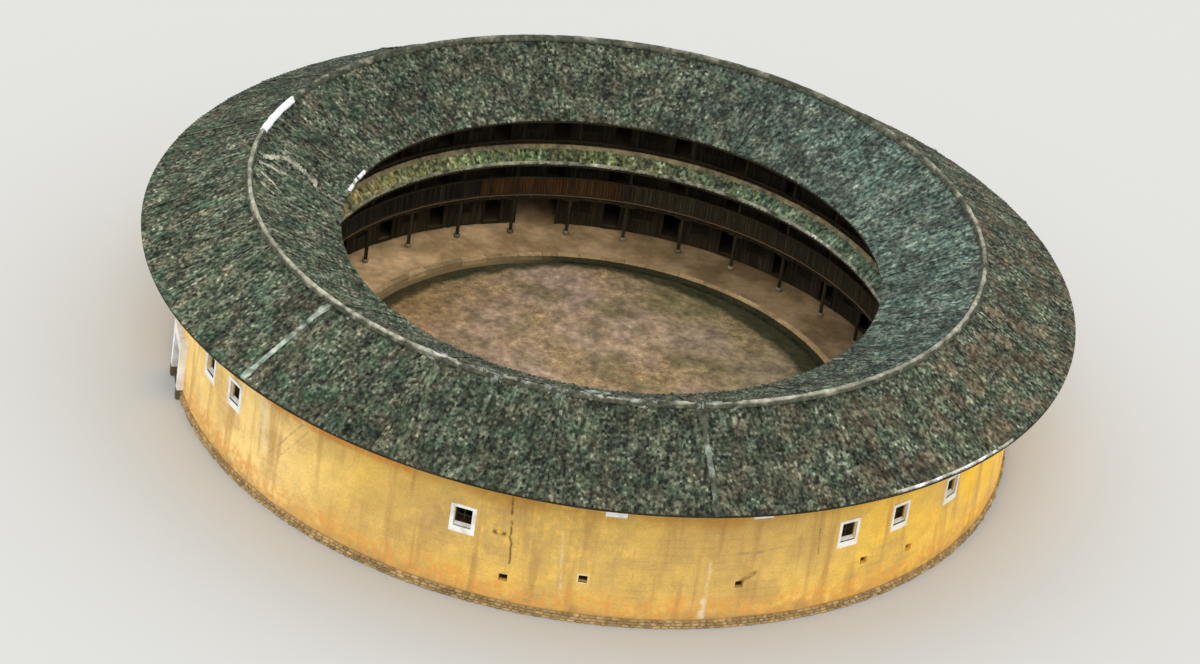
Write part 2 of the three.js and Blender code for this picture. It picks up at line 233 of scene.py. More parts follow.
class Pile:
    """Surfaces that become one mesh, kept as whole arrays of points, faces, UV corners and tones."""

    def __init__(self):
        self.points = []
        self.faces = []
        self.corners = []
        self.tones = []
        self.count = 0

    def add(self, points, faces, uv, tone=0.5):
        """Adds points, given at the real house's size, and faces, with a UV for each point or each corner
        and a tone for each point."""
        points = np.asarray(points, float).reshape(-1, 3) * METRE
        uv = np.asarray(uv, float)
        if uv.ndim == 2:
            uv = uv[faces]
        self.points.append(points)
        self.faces.append(faces + self.count)
        self.corners.append(uv.reshape(-1, 2))
        self.tones.append(np.broadcast_to(np.ravel(tone), len(points)))
        self.count += len(points)

    def mesh(self, name, is_welded):
        """Makes the mesh. A welded one keeps a single point where several coincide."""
        points = np.concatenate(self.points)
        tones = np.concatenate(self.tones)
        loops = np.concatenate([faces.ravel() for faces in self.faces])
        widths = np.concatenate([np.full(len(faces), faces.shape[1]) for faces in self.faces])
        if is_welded:
            whole = np.round(points / SAME_POINT).astype(np.int64)
            _, first, joined = np.unique(whole, axis=0, return_index=True, return_inverse=True)
            points = points[first]
            tones = tones[first]
            loops = joined.ravel()[loops]
        mesh = bpy.data.meshes.new(name)
        mesh.vertices.add(len(points))
        mesh.vertices.foreach_set("co", points.ravel())
        mesh.loops.add(len(loops))
        mesh.loops.foreach_set("vertex_index", loops)
        mesh.polygons.add(len(widths))
        mesh.polygons.foreach_set("loop_start", np.concatenate(([0], np.cumsum(widths)[:-1])))
        mesh.update(calc_edges=True)
        mesh.uv_layers.new(name="UVMap").uv.foreach_set("vector", np.concatenate(self.corners).ravel())
        mesh.attributes.new("tone", "FLOAT", "POINT").data.foreach_set("value", tones)
        return mesh


def add_sheets(pile, grids, uv, drop, tone=0.5):
    """Sheets of one thickness, each a grid of points, the same grid let down by the drop, and a rim."""
    count, rows, columns = grids.shape[:3]
    size = rows * columns
    index = np.arange(size).reshape(rows, columns)
    edge = np.concatenate((index[0, :-1], index[:-1, -1], index[-1, :0:-1], index[:0:-1, 0]))
    beside = np.roll(edge, -1)
    top = grid_faces(rows, columns)
    rim = np.stack((beside, edge, edge + size, beside + size), -1)
    faces = np.concatenate((top, top[:, ::-1] + size, rim))
    if face_normals(grids[0].reshape(-1, 3), top)[:, 2].sum() < 0:
        faces = faces[:, ::-1]
    let_down = grids - np.array((0, 0, drop))
    points = np.stack((grids, let_down), 1).reshape(-1, 3)
    every = faces[None] + (np.arange(count) * 2 * size)[:, None, None]
    both_uv = np.stack((uv, uv), 1).reshape(-1, 2)
    both_tones = np.repeat(np.broadcast_to(tone, grids.shape[:3])[:, None], 2, axis=1)
    pile.add(points, every.reshape(-1, 4), both_uv, both_tones)


def add_tubes(pile, rings, uv, tone=0.5, is_capped=True):
    """Closed bodies, each a row of rings of points joined side to side, with a flat face over each end."""
    count, rows, around = rings.shape[:3]
    size = rows * around
    faces = grid_faces(rows, around, is_tube=True)
    points = rings.reshape(-1, 3)
    middle = rings[0].reshape(-1, 3)[faces].mean(1)
    outward = middle - rings[0].mean(1)[faces[:, 0] // around]
    is_inside_out = (face_normals(rings[0].reshape(-1, 3), faces) * outward).sum() < 0
    if is_inside_out:
        faces = faces[:, ::-1]
    tones = np.broadcast_to(tone, rings.shape[:3])
    shift = (np.arange(count) * size)[:, None, None]
    pile.add(points, (faces[None] + shift).reshape(-1, 4), uv.reshape(-1, 2), tones)
    if is_capped:
        caps = np.stack((np.arange(around)[::-1], np.arange(around) + size - around))
        if is_inside_out:
            caps = caps[:, ::-1]
        caps = (caps[None] + shift).reshape(-1, around)
        pile.corners.append(uv.reshape(-1, 2)[caps].reshape(-1, 2))
        pile.faces.append(caps + pile.count - len(points))


def add_ring(pile, profile, start=0, end=360, steps=256, tone=None, uneven=0, seed=0):
    """A profile of radii and heights, carried round the house from one azimuth to another. Its UV runs along
    the ring and round the profile. The points may be moved unevenly along the radius."""
    profile = np.asarray(profile, float)
    azimuth = np.linspace(start, end, steps + 1)[:, None]
    rings = on_ring(profile[None, :, 0], azimuth, profile[None, :, 1])
    if uneven:
        outward = on_ring(1.0, azimuth, 0.0)
        rings = rings + outward * (uneven * drift(rings, 1.0, seed))[..., None]
        rings[-1] = rings[0] if end - start == 360 else rings[-1]
    step = np.linalg.norm(np.roll(profile, -1, axis=0) - profile, axis=1)
    along = np.radians(azimuth) * profile[:, 0].max()
    uv = pair(along, np.cumsum(step)[None] - step[0]) * METRE
    shades = 0.5 if tone is None else tone(azimuth[:, 0])[None, :, None]
    add_tubes(pile, rings[None], uv[None], shades, is_capped=end - start < 360)


# A box's faces, with corner number 4 x + 2 y + z, and the two directions that lie in each pair of faces.
BOX_FACES = np.array([[0, 1, 3, 2], [4, 6, 7, 5], [0, 4, 5, 1], [2, 3, 7, 6], [0, 2, 6, 4], [1, 5, 7, 3]])
RADIAL, ACROSS, UPRIGHT = 0, 1, 2

# How far apart the UVs of pieces of timber or stone may start, so that no two look alike.
UV_REACH = 40


def at_ends(value, count):
    """A value for both ends of each bar, from one number, one for each bar, or a pair of those."""
    near, far = value if isinstance(value, tuple) else (value, value)
    return pair(*(np.broadcast_to(np.asarray(v, float), count) for v in (near, far)))


def add_bars(pile, azimuth, reach, side, low, high, grain=UPRIGHT, tone=None, seed=1):
    """Square timbers or stones, one for each azimuth. The reach is near and far along the radius, the side is
    half a width or a left and a right, and low and high may differ at the two ends. The UV runs along the
    grain."""
    azimuth = np.ravel(azimuth).astype(float)
    count = len(azimuth)
    chance = np.random.default_rng(seed)
    side = side if isinstance(side, tuple) else (-side, side)
    reach, side, low, high = (at_ends(value, count) for value in (reach, side, low, high))
    level = np.stack((low, high), -1)
    corner = np.arange(8)
    is_far, is_right, is_high = corner // 4, corner // 2 % 2, corner % 2
    local = np.stack((reach[:, is_far], side[:, is_right], level[:, is_far, is_high]), -1)
    angle = np.radians(azimuth)[:, None]
    points = np.stack((
        local[..., 0] * np.sin(angle) + local[..., 1] * np.cos(angle),
        local[..., 1] * np.sin(angle) - local[..., 0] * np.cos(angle),
        local[..., 2],
    ), -1)
    corners = local[:, BOX_FACES]
    uv = np.zeros(corners.shape[:-1] + (2,))
    for face in range(6):
        in_face = [axis for axis in (RADIAL, ACROSS, UPRIGHT) if axis != face // 2]
        in_face.sort(key=lambda axis: axis != grain)
        uv[:, face] = corners[:, face][..., in_face]
    uv = uv * METRE + chance.uniform(0, UV_REACH, (count, 1, 1, 2))
    tones = chance.uniform(0, 1, count) if tone is None else np.broadcast_to(tone, count)
    faces = BOX_FACES[None] + (np.arange(count) * 8)[:, None, None]
    pile.add(points, faces.reshape(-1, 4), uv.reshape(-1, 4, 2), np.repeat(tones, 8))


def add_turned(pile, azimuth, centre_radius, heights, radii, sides=12, seed=2):
    """Round posts and bases: at each height a circle of a given radius about an upright axis."""
    azimuth = np.ravel(azimuth).astype(float)
    heights = np.asarray(heights, float)
    chance = np.random.default_rng(seed)
    turn = round_angles(sides)
    circle = np.stack((np.cos(turn), np.sin(turn), 0 * turn), -1)
    middle = on_ring(centre_radius, azimuth, 0.0)[:, None, None]
    rings = middle + circle * np.asarray(radii)[:, None, None] + UP * heights[:, None, None]
    around = turn * np.mean(radii)
    uv = pair(heights[:, None], around[None])[None] * METRE
    uv = uv + chance.uniform(0, UV_REACH, (len(azimuth), 1, 1, 2))
    tones = chance.uniform(0, 1, (len(azimuth), 1, 1))
    add_tubes(pile, rings, uv, tones)


def both_halves(name):
    """Names of the frame's two halves of one ring."""
    return f"{name}_front", f"{name}_back"


def place(pile, name, finish, slot, replaced=(), is_welded=False, crease=35):
    """Puts a pile into the scene as a piece that rides on the house, smooth but for edges over the crease."""
    mesh = pile.mesh(name, is_welded)
    mesh.materials.append(finish)
    mesh.shade_smooth()
    mesh.set_sharp_from_angle(angle=np.radians(crease))
    piece = bpy.data.objects.new(name, mesh)
    bpy.context.scene.collection.objects.link(piece)
    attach(piece, "root")
    if replaced:
        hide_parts(*replaced)
    return piece


def bevel(piece, width):
    """Rounds the edges of a piece a little."""
    modifier = piece.modifiers.new("worn_edges", "BEVEL")
    modifier.width = width * METRE
    modifier.segments = 1
    modifier.limit_method = "ANGLE"


def tint(red, green, blue):
    """A colour as seen, with channels up to 255, made linear for a shader."""
    seen = np.array((red, green, blue)) / 255
    linear = np.where(seen <= 0.04045, seen / 12.92, ((seen + 0.055) / 1.055) ** 2.4)
    return (*linear, 1.0)


MOSS_GREEN = tint(34, 42, 22)


class Finish:
    """One material, put together from nodes."""

    def __init__(self, name, roughness):
        self.material = bpy.data.materials.new(name)
        self.material.use_nodes = True
        self.nodes = self.material.node_tree.nodes
        self.links = self.material.node_tree.links
        self.shader = self.nodes["Principled BSDF"]
        self.shader.inputs["Roughness"].default_value = roughness
        self.shader.inputs["Specular IOR Level"].default_value = 0.2
        self.place = self.nodes.new("ShaderNodeTexCoord").outputs["Object"]

    def make(self, kind, *values, **settings):
        """A node with its settings, and its first sockets linked or set in order. None leaves one alone."""
        node = self.nodes.new(kind)
        for name, value in settings.items():
            setattr(node, name, value)
        for socket, value in zip(node.inputs, values):
            if isinstance(value, bpy.types.NodeSocket):
                self.links.new(value, socket)
            elif value is not None:
                socket.default_value = value
        return node

    def math(self, operation, *values):
        return self.make("ShaderNodeMath", *values, operation=operation).outputs[0]

    def times(self, first, second):
        return self.math("MULTIPLY", first, second)

    def plus(self, first, second):
        return self.math("ADD", first, second)

    def minus(self, first, second):
        return self.math("SUBTRACT", first, second)

    def over(self, first, second):
        return self.math("DIVIDE", first, second)

    def sway(self, noise, reach):
        """How far a noise is from its middle, times a reach."""
        return self.times(self.minus(noise, 0.5), reach)

    def uv(self):
        return self.make("ShaderNodeUVMap", uv_map="UVMap").outputs[0]

    def tone(self):
        return self.make("ShaderNodeAttribute", attribute_name="tone").outputs["Fac"]

    def split(self, vector):
        return self.make("ShaderNodeSeparateXYZ", vector).outputs

    def radius(self):
        """Distance from the house's axis."""
        x, y, _ = self.split(self.place)
        return self.math("SQRT", self.plus(self.math("POWER", x, 2.0), self.math("POWER", y, 2.0)))

    def dry_side(self):
        """1 at the back on the left, where kerb and drain are dry, and 0 at the front and on the right."""
        x, y, _ = self.split(self.place)
        return self.times(self.share(x, 0.5, -1.5), self.share(y, 0, 1.5))

    def stretch(self, vector, x, y, z, shift=0.0):
        """A vector times three numbers, then moved along X."""
        node = self.make("ShaderNodeMapping", vector)
        node.inputs["Scale"].default_value = (x, y, z)
        node.inputs["Location"].default_value = (shift, 0, 0)
        return node.outputs[0]

    def noise(self, vector, scale, detail=3.0):
        node = self.make("ShaderNodeTexNoise", vector)
        node.inputs["Scale"].default_value = scale
        node.inputs["Detail"].default_value = detail
        return node.outputs[0]

    def chance(self, vector):
        """A random number for each whole step of a vector."""
        whole = self.make("ShaderNodeVectorMath", vector, operation="FLOOR").outputs[0]
        return self.make("ShaderNodeTexWhiteNoise", whole).outputs[0]

    def cell_edge(self, vector, scale):
        """Distance to the nearest joint of a pattern of random cells."""
        node = self.make("ShaderNodeTexVoronoi", vector, feature="DISTANCE_TO_EDGE")
        node.inputs["Scale"].default_value = scale
        return node.outputs["Distance"]

    def cell_value(self, vector, scale):
        """A random number for each cell of that pattern."""
        node = self.make("ShaderNodeTexVoronoi", vector, feature="F1")
        node.inputs["Scale"].default_value = scale
        return self.split(node.outputs["Color"])[0]

    def share(self, value, low, high):
        """0 below low, 1 above high, and straight between, also where low is above high."""
        return self.make("ShaderNodeMapRange", value, low, high, clamp=True).outputs[0]

    def blend(self, factor, first, second):
        node = self.make("ShaderNodeMix", data_type="RGBA")
        for index, value in ((0, factor), (6, first), (7, second)):
            if isinstance(value, bpy.types.NodeSocket):
                self.links.new(value, node.inputs[index])
            else:
                node.inputs[index].default_value = value
        return node.outputs[2]

    def tinge(self, colour, place, strength, shade):
        """A colour that goes towards a shade where the place is 1, as far as the strength says."""
        return self.blend(self.times(place, strength), colour, shade)

    def vary(self, colour, pattern, least, most, low=0.3, high=0.7):
        """A colour times a brightness, which goes from least to most as the pattern goes from low to high."""
        node = self.make("ShaderNodeVectorMath", colour, operation="SCALE")
        brightness = self.make("ShaderNodeMapRange", pattern, low, high, least, most, clamp=True).outputs[0]
        self.links.new(brightness, node.inputs["Scale"])
        return node.outputs[0]

    def done(self, colour, height, depth):
        """Sets the colour and the fine relief, whose depth is in metres, and gives the material."""
        self.links.new(colour, self.shader.inputs["Base Color"])
        bump = self.nodes.new("ShaderNodeBump")
        bump.inputs["Distance"].default_value = depth
        self.links.new(height, bump.inputs["Height"])
        self.links.new(bump.outputs[0], self.shader.inputs["Normal"])
        return self.material


def roof_tile(name, paleness, dark, pale, left_dust=0.0):
    """Weathered grey tiles. Each cover and pan has its own shade, a few are pale with lichen or nearly black,
    and rain has left streaks down the columns. Brown dust and moss lie in patches: more dust on the outer
    right and, as far as left_dust says, on the left, and more moss on the left. Blue-green lichen lies on the
    inner right. The UV counts columns and courses. The tone makes a place paler or darker."""
    f = Finish(name, 0.95)
    uv = f.uv()
    _, course, _ = f.split(uv)
    each = f.chance(f.stretch(uv, 2, 1, 1, 0.5))
    other = f.chance(f.stretch(uv, 2, 1, 1, 300.5))
    colour = f.blend(each, dark, pale)
    colour = f.blend(f.share(other, 0.84, 0.94), colour, tint(126, 129, 108))
    colour = f.blend(f.share(other, 0.12, 0.04), colour, tint(38, 42, 35))
    x, _, _ = f.split(f.place)
    ridge = OUTER.head_radius
    is_outer = f.share(f.radius(), (ridge - 0.05) * METRE, (ridge + 0.05) * METRE)
    dust = f.share(f.noise(f.place, 1.5, 4.0), 0.46, 0.6)
    dusty = f.plus(f.times(f.times(is_outer, f.share(x, 0, 8)), 0.35), 0.25)
    colour = f.tinge(colour, dust, dusty, tint(108, 90, 70))
    colour = f.tinge(colour, f.share(x, -2.5, -6), left_dust, tint(118, 96, 54))
    moss = f.share(f.noise(f.stretch(f.place, 1, 1, 1, 7.0), 2.2, 5.0), 0.48, 0.6)
    mossy = f.plus(f.times(f.share(x, 0, -8), 0.25), 0.3)
    colour = f.tinge(colour, moss, mossy, tint(52, 78, 58))
    lichen = f.times(f.share(is_outer, 0.5, 0.4), f.share(x, 2, 7))
    colour = f.tinge(colour, lichen, 0.35, tint(80, 104, 100))
    colour = f.vary(colour, f.noise(f.stretch(uv, 0.9, 0.09, 1), 1.0, 3.0), 0.5, 1.6)
    colour = f.vary(colour, f.noise(f.place, 1.2, 5.0), 0.7, 1.3, 0.36, 0.64)
    colour = f.vary(colour, f.noise(f.place, 3.4, 3.0), 0.68, 1.38, 0.36, 0.66)
    colour = f.vary(colour, f.noise(f.place, 9.0, 2.0), 0.45, 1.7, 0.36, 0.64)
    colour = f.vary(colour, f.tone(), 0, 2 * paleness, 0, 1)
    lip = f.math("FRACT", course)
    return f.done(colour, f.plus(lip, f.times(each, 0.6)), 0.022 * METRE)


def mortar(name, shade, light):
    """Lime mortar, grey with age, and by its tone paler where it is newer and white where it is newest."""
    f = Finish(name, 0.95)
    grain = f.noise(f.place, 7.0, 4.0)
    stain = f.noise(f.place, 2.8, 5.0)
    old = f.blend(f.share(grain, 0.3, 0.7), tint(48, 51, 42), tint(98, 98, 80))
    new = f.blend(f.share(grain, 0.35, 0.7), shade, light)
    white = f.share(f.tone(), 0.9, 1.15)
    new = f.blend(white, new, tint(246, 246, 242))
    spread = f.sway(stain, 2.0)
    newness = f.share(f.plus(f.tone(), spread), 0.15, 0.85)
    return f.done(f.blend(newness, old, new), grain, 0.03 * METRE)


# Marks on the earth wall: from and to (azimuth and height in metres), half width in metres, strength, colour.
# One of them, along the front under the eave, is painted shade.
Mark = namedtuple("Mark", "start end half_width strength colour")
CRACK = tint(84, 58, 34)
PALE_WASH = tint(244, 226, 190)
GREY_WASH = tint(176, 146, 100)
WALL_MARKS = (
    Mark((-61, 5.65), (-37, 6.1), 0.16, 0.6, tint(222, 134, 62)),
    Mark((-30, 4.2), (-14, 4.2), 1.7, 0.4, GREY_WASH),
    # Painted shade: the eave's shadow on the wall along the front.
    Mark((-26, 7.0), (22, 7.0), 1.1, 0.45, tint(176, 128, 60)),
    Mark((-23.0, 6.6), (-22.2, 2.6), 0.05, 0.8, CRACK),
    Mark((-24.6, 4.15), (-23.4, 4.15), 0.12, 0.8, CRACK),
    Mark((18.3, 5.0), (18.7, 3.5), 0.03, 0.6, CRACK),
    Mark((52, 8.8), (51.5, 4.8), 0.03, 0.8, CRACK),
    Mark((128, 8.8), (127.5, 3.6), 0.03, 0.8, CRACK),
    Mark((-148, 8.9), (-148.4, 4.4), 0.03, 0.8, CRACK),
    Mark((-16.1, 4.9), (-15.2, 1.2), 0.07, 0.35, PALE_WASH),
    Mark((-61.8, 5.3), (-60.8, 3.0), 0.22, 0.7, PALE_WASH),
    Mark((-59.5, 3.0), (-54, 5.7), 0.05, 0.55, GREY_WASH),
    Mark((-58.2, 2.9), (-53, 5.4), 0.04, 0.45, GREY_WASH),
    Mark((-8.3, 5.3), (-9.3, 2.0), 0.45, 0.3, GREY_WASH),
    Mark((-6.8, 5.0), (-6.5, 2.6), 0.05, 0.4, GREY_WASH),
    Mark((6.9, 4.15), (10.5, 4.15), 0.08, 0.8, GREY_WASH),
    Mark((9.5, 4.2), (14.4, 4.3), 0.05, 0.5, GREY_WASH),
    Mark((13.0, 4.6), (15.5, 4.65), 0.05, 0.5, GREY_WASH),
    Mark((7.9, 2.55), (9.6, 3.0), 0.13, 0.6, CRACK),
    Mark((3.4, 3.7), (3.4, 1.7), 0.08, 0.35, PALE_WASH),
    Mark((3.2, 1.5), (3.2, 0.5), 0.16, 0.65, PALE_WASH),
)


def mark_strength(f, along, height, mark):
    """How strongly a mark shows: 1 on the line between its ends, and 0 beyond its half width from it."""
    azimuths, levels = np.array((mark.start, mark.end)).T
    x, far_x = np.radians(azimuths) * WALL_FOOT_RADIUS * METRE
    z, far_z = levels * METRE
    run, rise = far_x - x, far_z - z
    from_x, from_z = f.minus(along, x), f.minus(height, z)
    reach = f.plus(f.times(from_x, run), f.times(from_z, rise))
    share = f.share(f.over(reach, run ** 2 + rise ** 2), 0, 1)
    off_x = f.minus(from_x, f.times(share, run))
    off_z = f.minus(from_z, f.times(share, rise))
    away = f.math("SQRT", f.plus(f.math("POWER", off_x, 2.0), f.math("POWER", off_z, 2.0)))
    half_width = mark.half_width * METRE
    return f.times(f.share(away, half_width * 1.5, half_width * 0.5), mark.strength)


def formwork_joints(f, along, height):
    """1 in the fine joints of the rammed lifts and of the formwork's ends, 0 between. The lifts wander a
    little, and each is shifted against the one below."""
    lift, form = 0.42 * METRE, 2.1 * METRE
    wander = f.times(f.noise(f.place, 1.1, 2.0), 0.35)
    course = f.plus(f.over(height, lift), wander)
    seam = f.share(f.math("ABSOLUTE", f.minus(f.math("FRACT", course), 0.5)), 0.42, 0.5)
    shift = f.times(f.math("FLOOR", course), 0.37)
    in_form = f.math("FRACT", f.plus(f.over(along, form), shift))
    joint = f.share(f.math("ABSOLUTE", f.minus(in_form, 0.5)), 0.485, 0.5)
    return f.math("MAXIMUM", seam, joint)


def weathered_with_painted_light(f, colour, height, blot, mottle):
    """Earth a little darker towards the front and brighter where its tone is high, on the right, both painted
    light; deeper orange under the eave, partly painted shade of the eave and partly earth kept from rain;
    deeper in patches low down, and greyer where rain splashes. Noise makes the levels uneven."""
    level = f.plus(height, f.times(f.plus(f.minus(blot, 0.5), f.sway(mottle, 0.7)), 2.0 * METRE))
    _, depth, _ = f.split(f.place)
    radius = WALL_FOOT_RADIUS * METRE
    # Painted light: the earth is darker at the front and brighter towards the sides.
    colour = f.vary(colour, depth, 0.87, 1.25, -0.85 * radius, -0.1 * radius)
    # Painted light: brighter on the right, where the tone is high.
    colour = f.vary(colour, f.tone(), 0.98, 1.2, 0.5, 1.0)
    # Deeper orange under the eave, partly painted shade of the eave and partly earth kept from rain.
    colour = f.tinge(colour, f.share(level, 5.5 * METRE, 6.4 * METRE), 0.7, tint(206, 146, 58))
    patches = f.share(f.noise(f.place, 7.0, 5.0), 0.4, 0.6)
    low = f.times(f.share(level, 1.9 * METRE, 1.2 * METRE), patches)
    colour = f.tinge(colour, low, 0.7, tint(236, 162, 78))
    splash = f.times(f.share(level, 1.0 * METRE, 0.5 * METRE), f.share(mottle, 0.35, 0.6))
    return f.tinge(colour, splash, 0.7, tint(160, 128, 86))


def rammed_earth():
    """Ochre earth rammed in lifts, worn by weather with some painted light and shade, and stained, darkened
    behind its face as painted shade, with the formwork's fine joints. Its marks wobble and break off here and
    there; one of them is a painted shadow of the eave. The UV runs along the wall and up it."""
    f = Finish("ochre_earth", 0.97)
    along, _, _ = f.split(f.uv())
    _, _, height = f.split(f.place)
    patch = f.noise(f.place, 0.35, 4.0)
    mottle = f.noise(f.place, 2.4, 5.0)
    blot = f.noise(f.place, 0.9, 5.0)
    grit = f.noise(f.place, 24.0, 2.0)
    streak = f.noise(f.stretch(f.place, 3.2, 3.2, 0.3), 1.0, 3.0)
    colour = f.blend(f.tone(), tint(254, 218, 140), tint(255, 200, 62))
    colour = f.tinge(colour, f.share(patch, 0.42, 0.62), 0.7, tint(224, 184, 108))
    colour = f.vary(colour, mottle, 0.88, 1.08)
    colour = f.tinge(colour, f.share(blot, 0.52, 0.62), 0.5, tint(204, 164, 102))
    colour = f.tinge(colour, f.share(streak, 0.52, 0.68), 0.7, tint(200, 154, 90))
    lines = formwork_joints(f, along, height)
    worn = f.share(blot, 0.45, 0.62)
    colour = f.tinge(colour, f.times(lines, worn), 0.25, tint(168, 124, 68))
    colour = f.vary(colour, grit, 0.9, 1.08)
    colour = weathered_with_painted_light(f, colour, height, blot, mottle)
    wobbly = f.plus(along, f.sway(f.noise(f.place, 4.0, 4.0), 0.25 * METRE))
    broken = f.share(f.noise(f.place, 5.5, 4.0), 0.34, 0.56)
    for mark in WALL_MARKS:
        colour = f.tinge(colour, mark_strength(f, wobbly, height, mark), broken, mark.colour)
    # Painted shade: the earth is darkened behind its face, in the reveals of the openings and on the wall's
    # back, where the rooms are unlit.
    behind = f.share(f.radius(), (WALL_TOP_RADIUS - 0.08) * METRE, (WALL_TOP_RADIUS - 0.2) * METRE)
    colour = f.tinge(colour, behind, 0.9, tint(50, 38, 26))
    relief = f.minus(f.plus(mottle, f.times(grit, 0.3)), f.times(lines, 0.12))
    return f.done(colour, relief, 0.05 * METRE)


def limewash(name, clean, dirty):
    """Lime plaster, dirty in patches and creamier on the right."""
    f = Finish(name, 0.9)
    x, _, _ = f.split(f.place)
    grime = f.noise(f.place, 3.0, 4.0)
    colour = f.blend(f.share(grime, 0.45, 0.8), clean, dirty)
    colour = f.tinge(colour, f.share(x, 2, 7), 0.4, tint(232, 216, 172))
    return f.done(colour, f.noise(f.place, 12.0, 3.0), 0.012 * METRE)


def field_stone(name, dark, pale, moss_top=None):
    """Field stones, each with its own shade, and moss on what lies below a level."""
    f = Finish(name, 0.92)
    _, _, height = f.split(f.place)
    mottle = f.noise(f.place, 9.0, 4.0)
    colour = f.vary(f.blend(f.tone(), dark, pale), mottle, 0.75, 1.15)
    dirt = f.share(f.noise(f.place, 1.2, 3.0), 0.45, 0.65)
    colour = f.tinge(colour, dirt, 0.35, tint(118, 96, 62))
    if moss_top:
        moss = f.share(f.plus(height, f.times(mottle, 0.04 * METRE)), moss_top, moss_top * 0.9)
        wet = f.minus(0.9, f.times(f.dry_side(), 0.75))
        colour = f.tinge(colour, moss, wet, MOSS_GREEN)
    return f.done(colour, mottle, 0.02 * METRE)


def timber(name, dark, pale, is_from_frame=False):
    """Old timber: the grain runs along the UV, and each board has its own shade. A node of the frame has no
    such UV, and takes upright grain."""
    f = Finish(name, 0.85)
    place_in_board = f.stretch(f.place, 9, 9, 0.8) if is_from_frame else f.stretch(f.uv(), 1.2, 26, 1)
    grain = f.noise(place_in_board, 1.0, 4.0)
    colour = f.blend(f.share(grain, 0.3, 0.7), dark, pale)
    if not is_from_frame:
        colour = f.vary(colour, f.tone(), 0.15, 1.15, -1, 1)
    colour = f.vary(colour, f.noise(f.place, 0.9, 3.0), 0.8, 1.15)
    return f.done(colour, grain, 0.008 * METRE)


def court_cobbles():
    """Cobbles trodden into earth: pinkish grey in the middle, orange tan on the left, greener on the right,
    with a dark ragged rim of moss, broader on the dry side and on the right."""
    f = Finish("trodden_cobbles", 0.95)
    x, _, _ = f.split(f.place)
    edge = f.cell_edge(f.place, 15.0)
    each = f.cell_value(f.place, 15.0)
    patch = f.noise(f.place, 0.3, 5.0)
    other = f.noise(f.stretch(f.place, 1, 1, 1, 9.0), 0.55, 5.0)
    worn = f.noise(f.place, 2.2, 5.0)
    colour = f.blend(each, tint(152, 124, 84), tint(192, 162, 118))
    colour = f.blend(f.share(patch, 0.4, 0.56), colour, tint(184, 156, 132))
    colour = f.tinge(colour, f.share(other, 0.5, 0.62), 0.8, tint(130, 116, 82))
    sideways = f.plus(x, f.sway(other, 6.0))
    colour = f.tinge(colour, f.share(sideways, -1.5, -4.5), 0.6, tint(164, 126, 74))
    colour = f.tinge(colour, f.share(sideways, 1.5, 4.5), 0.5, tint(118, 116, 78))
    colour = f.tinge(colour, f.share(edge, 0.14, 0.02), 0.35, tint(116, 96, 66))
    colour = f.vary(colour, worn, 0.65, 1.35)
    colour = f.vary(colour, f.noise(f.place, 6.0, 4.0), 0.68, 1.32)
    ragged = f.sway(worn, 1.2 * METRE)
    ragged = f.plus(ragged, f.times(f.share(x, 1.5, 5.0), 0.9 * METRE))
    ragged = f.plus(ragged, f.times(f.dry_side(), 0.5 * METRE))
    rim = f.share(f.plus(f.radius(), ragged), (COURT_RADIUS - 0.5) * METRE, (COURT_RADIUS - 0.1) * METRE)
    colour = f.tinge(colour, rim, 0.85, MOSS_GREEN)
    return f.done(colour, f.share(edge, 0.0, 0.12), 0.02 * METRE)


def beaten_floor():
    """Pale beaten earth and lime under the galleries, with dirt in patches, brighter on the left and darker
    towards the right as painted light, and dark in the rooms beside the hall."""
    f = Finish("beaten_lime_floor", 0.93)
    patch = f.noise(f.place, 0.9, 4.0)
    mottle = f.noise(f.place, 5.0, 4.0)
    colour = f.blend(f.share(patch, 0.4, 0.6), tint(226, 188, 140), tint(176, 144, 100))
    x, y, _ = f.split(f.place)
    in_room = f.share(f.radius(), (FRONT_FAR - 0.2) * METRE, (FRONT_FAR + 0.4) * METRE)
    off_axis = f.share(f.math("ABSOLUTE", x), 1.2 * METRE, 1.6 * METRE)
    beside_hall = f.math("MAXIMUM", off_axis, f.share(y, 1, 0))
    colour = f.tinge(colour, f.times(in_room, beside_hall), 0.9, tint(50, 40, 28))
    # Painted light: bright on the left, darker towards the right.
    colour = f.vary(colour, x, 1.3, 0.45, -5.5, 4.5)
    return f.done(f.vary(colour, mottle, 0.8, 1.12), mottle, 0.015 * METRE)


def drain_moss():
    """Stone of the drain, damp and dark with moss, but dry and dusty at the back on the left."""
    f = Finish("mossy_drain", 0.8)
    mottle = f.noise(f.place, 5.0, 4.0)
    colour = f.blend(f.share(mottle, 0.35, 0.62), tint(20, 26, 14), tint(48, 52, 30))
    colour = f.tinge(colour, f.dry_side(), 0.8, tint(140, 118, 80))
    return f.done(colour, mottle, 0.02 * METRE)


def laid_tiles(slope, radius, azimuth, column, sag):
    """Points on a tiled slope: its height, with a rounded wave of one column, let down by the sag."""
    wave = TILE_WAVE * (0.5 - 0.5 * np.cos(2 * np.pi * column)) ** 0.8
    heights = slope_height(slope, radius) - TILE_WAVE + wave + np.clip(sag, -DEEPEST_SAG, 0)
    return on_ring(radius, azimuth, heights)


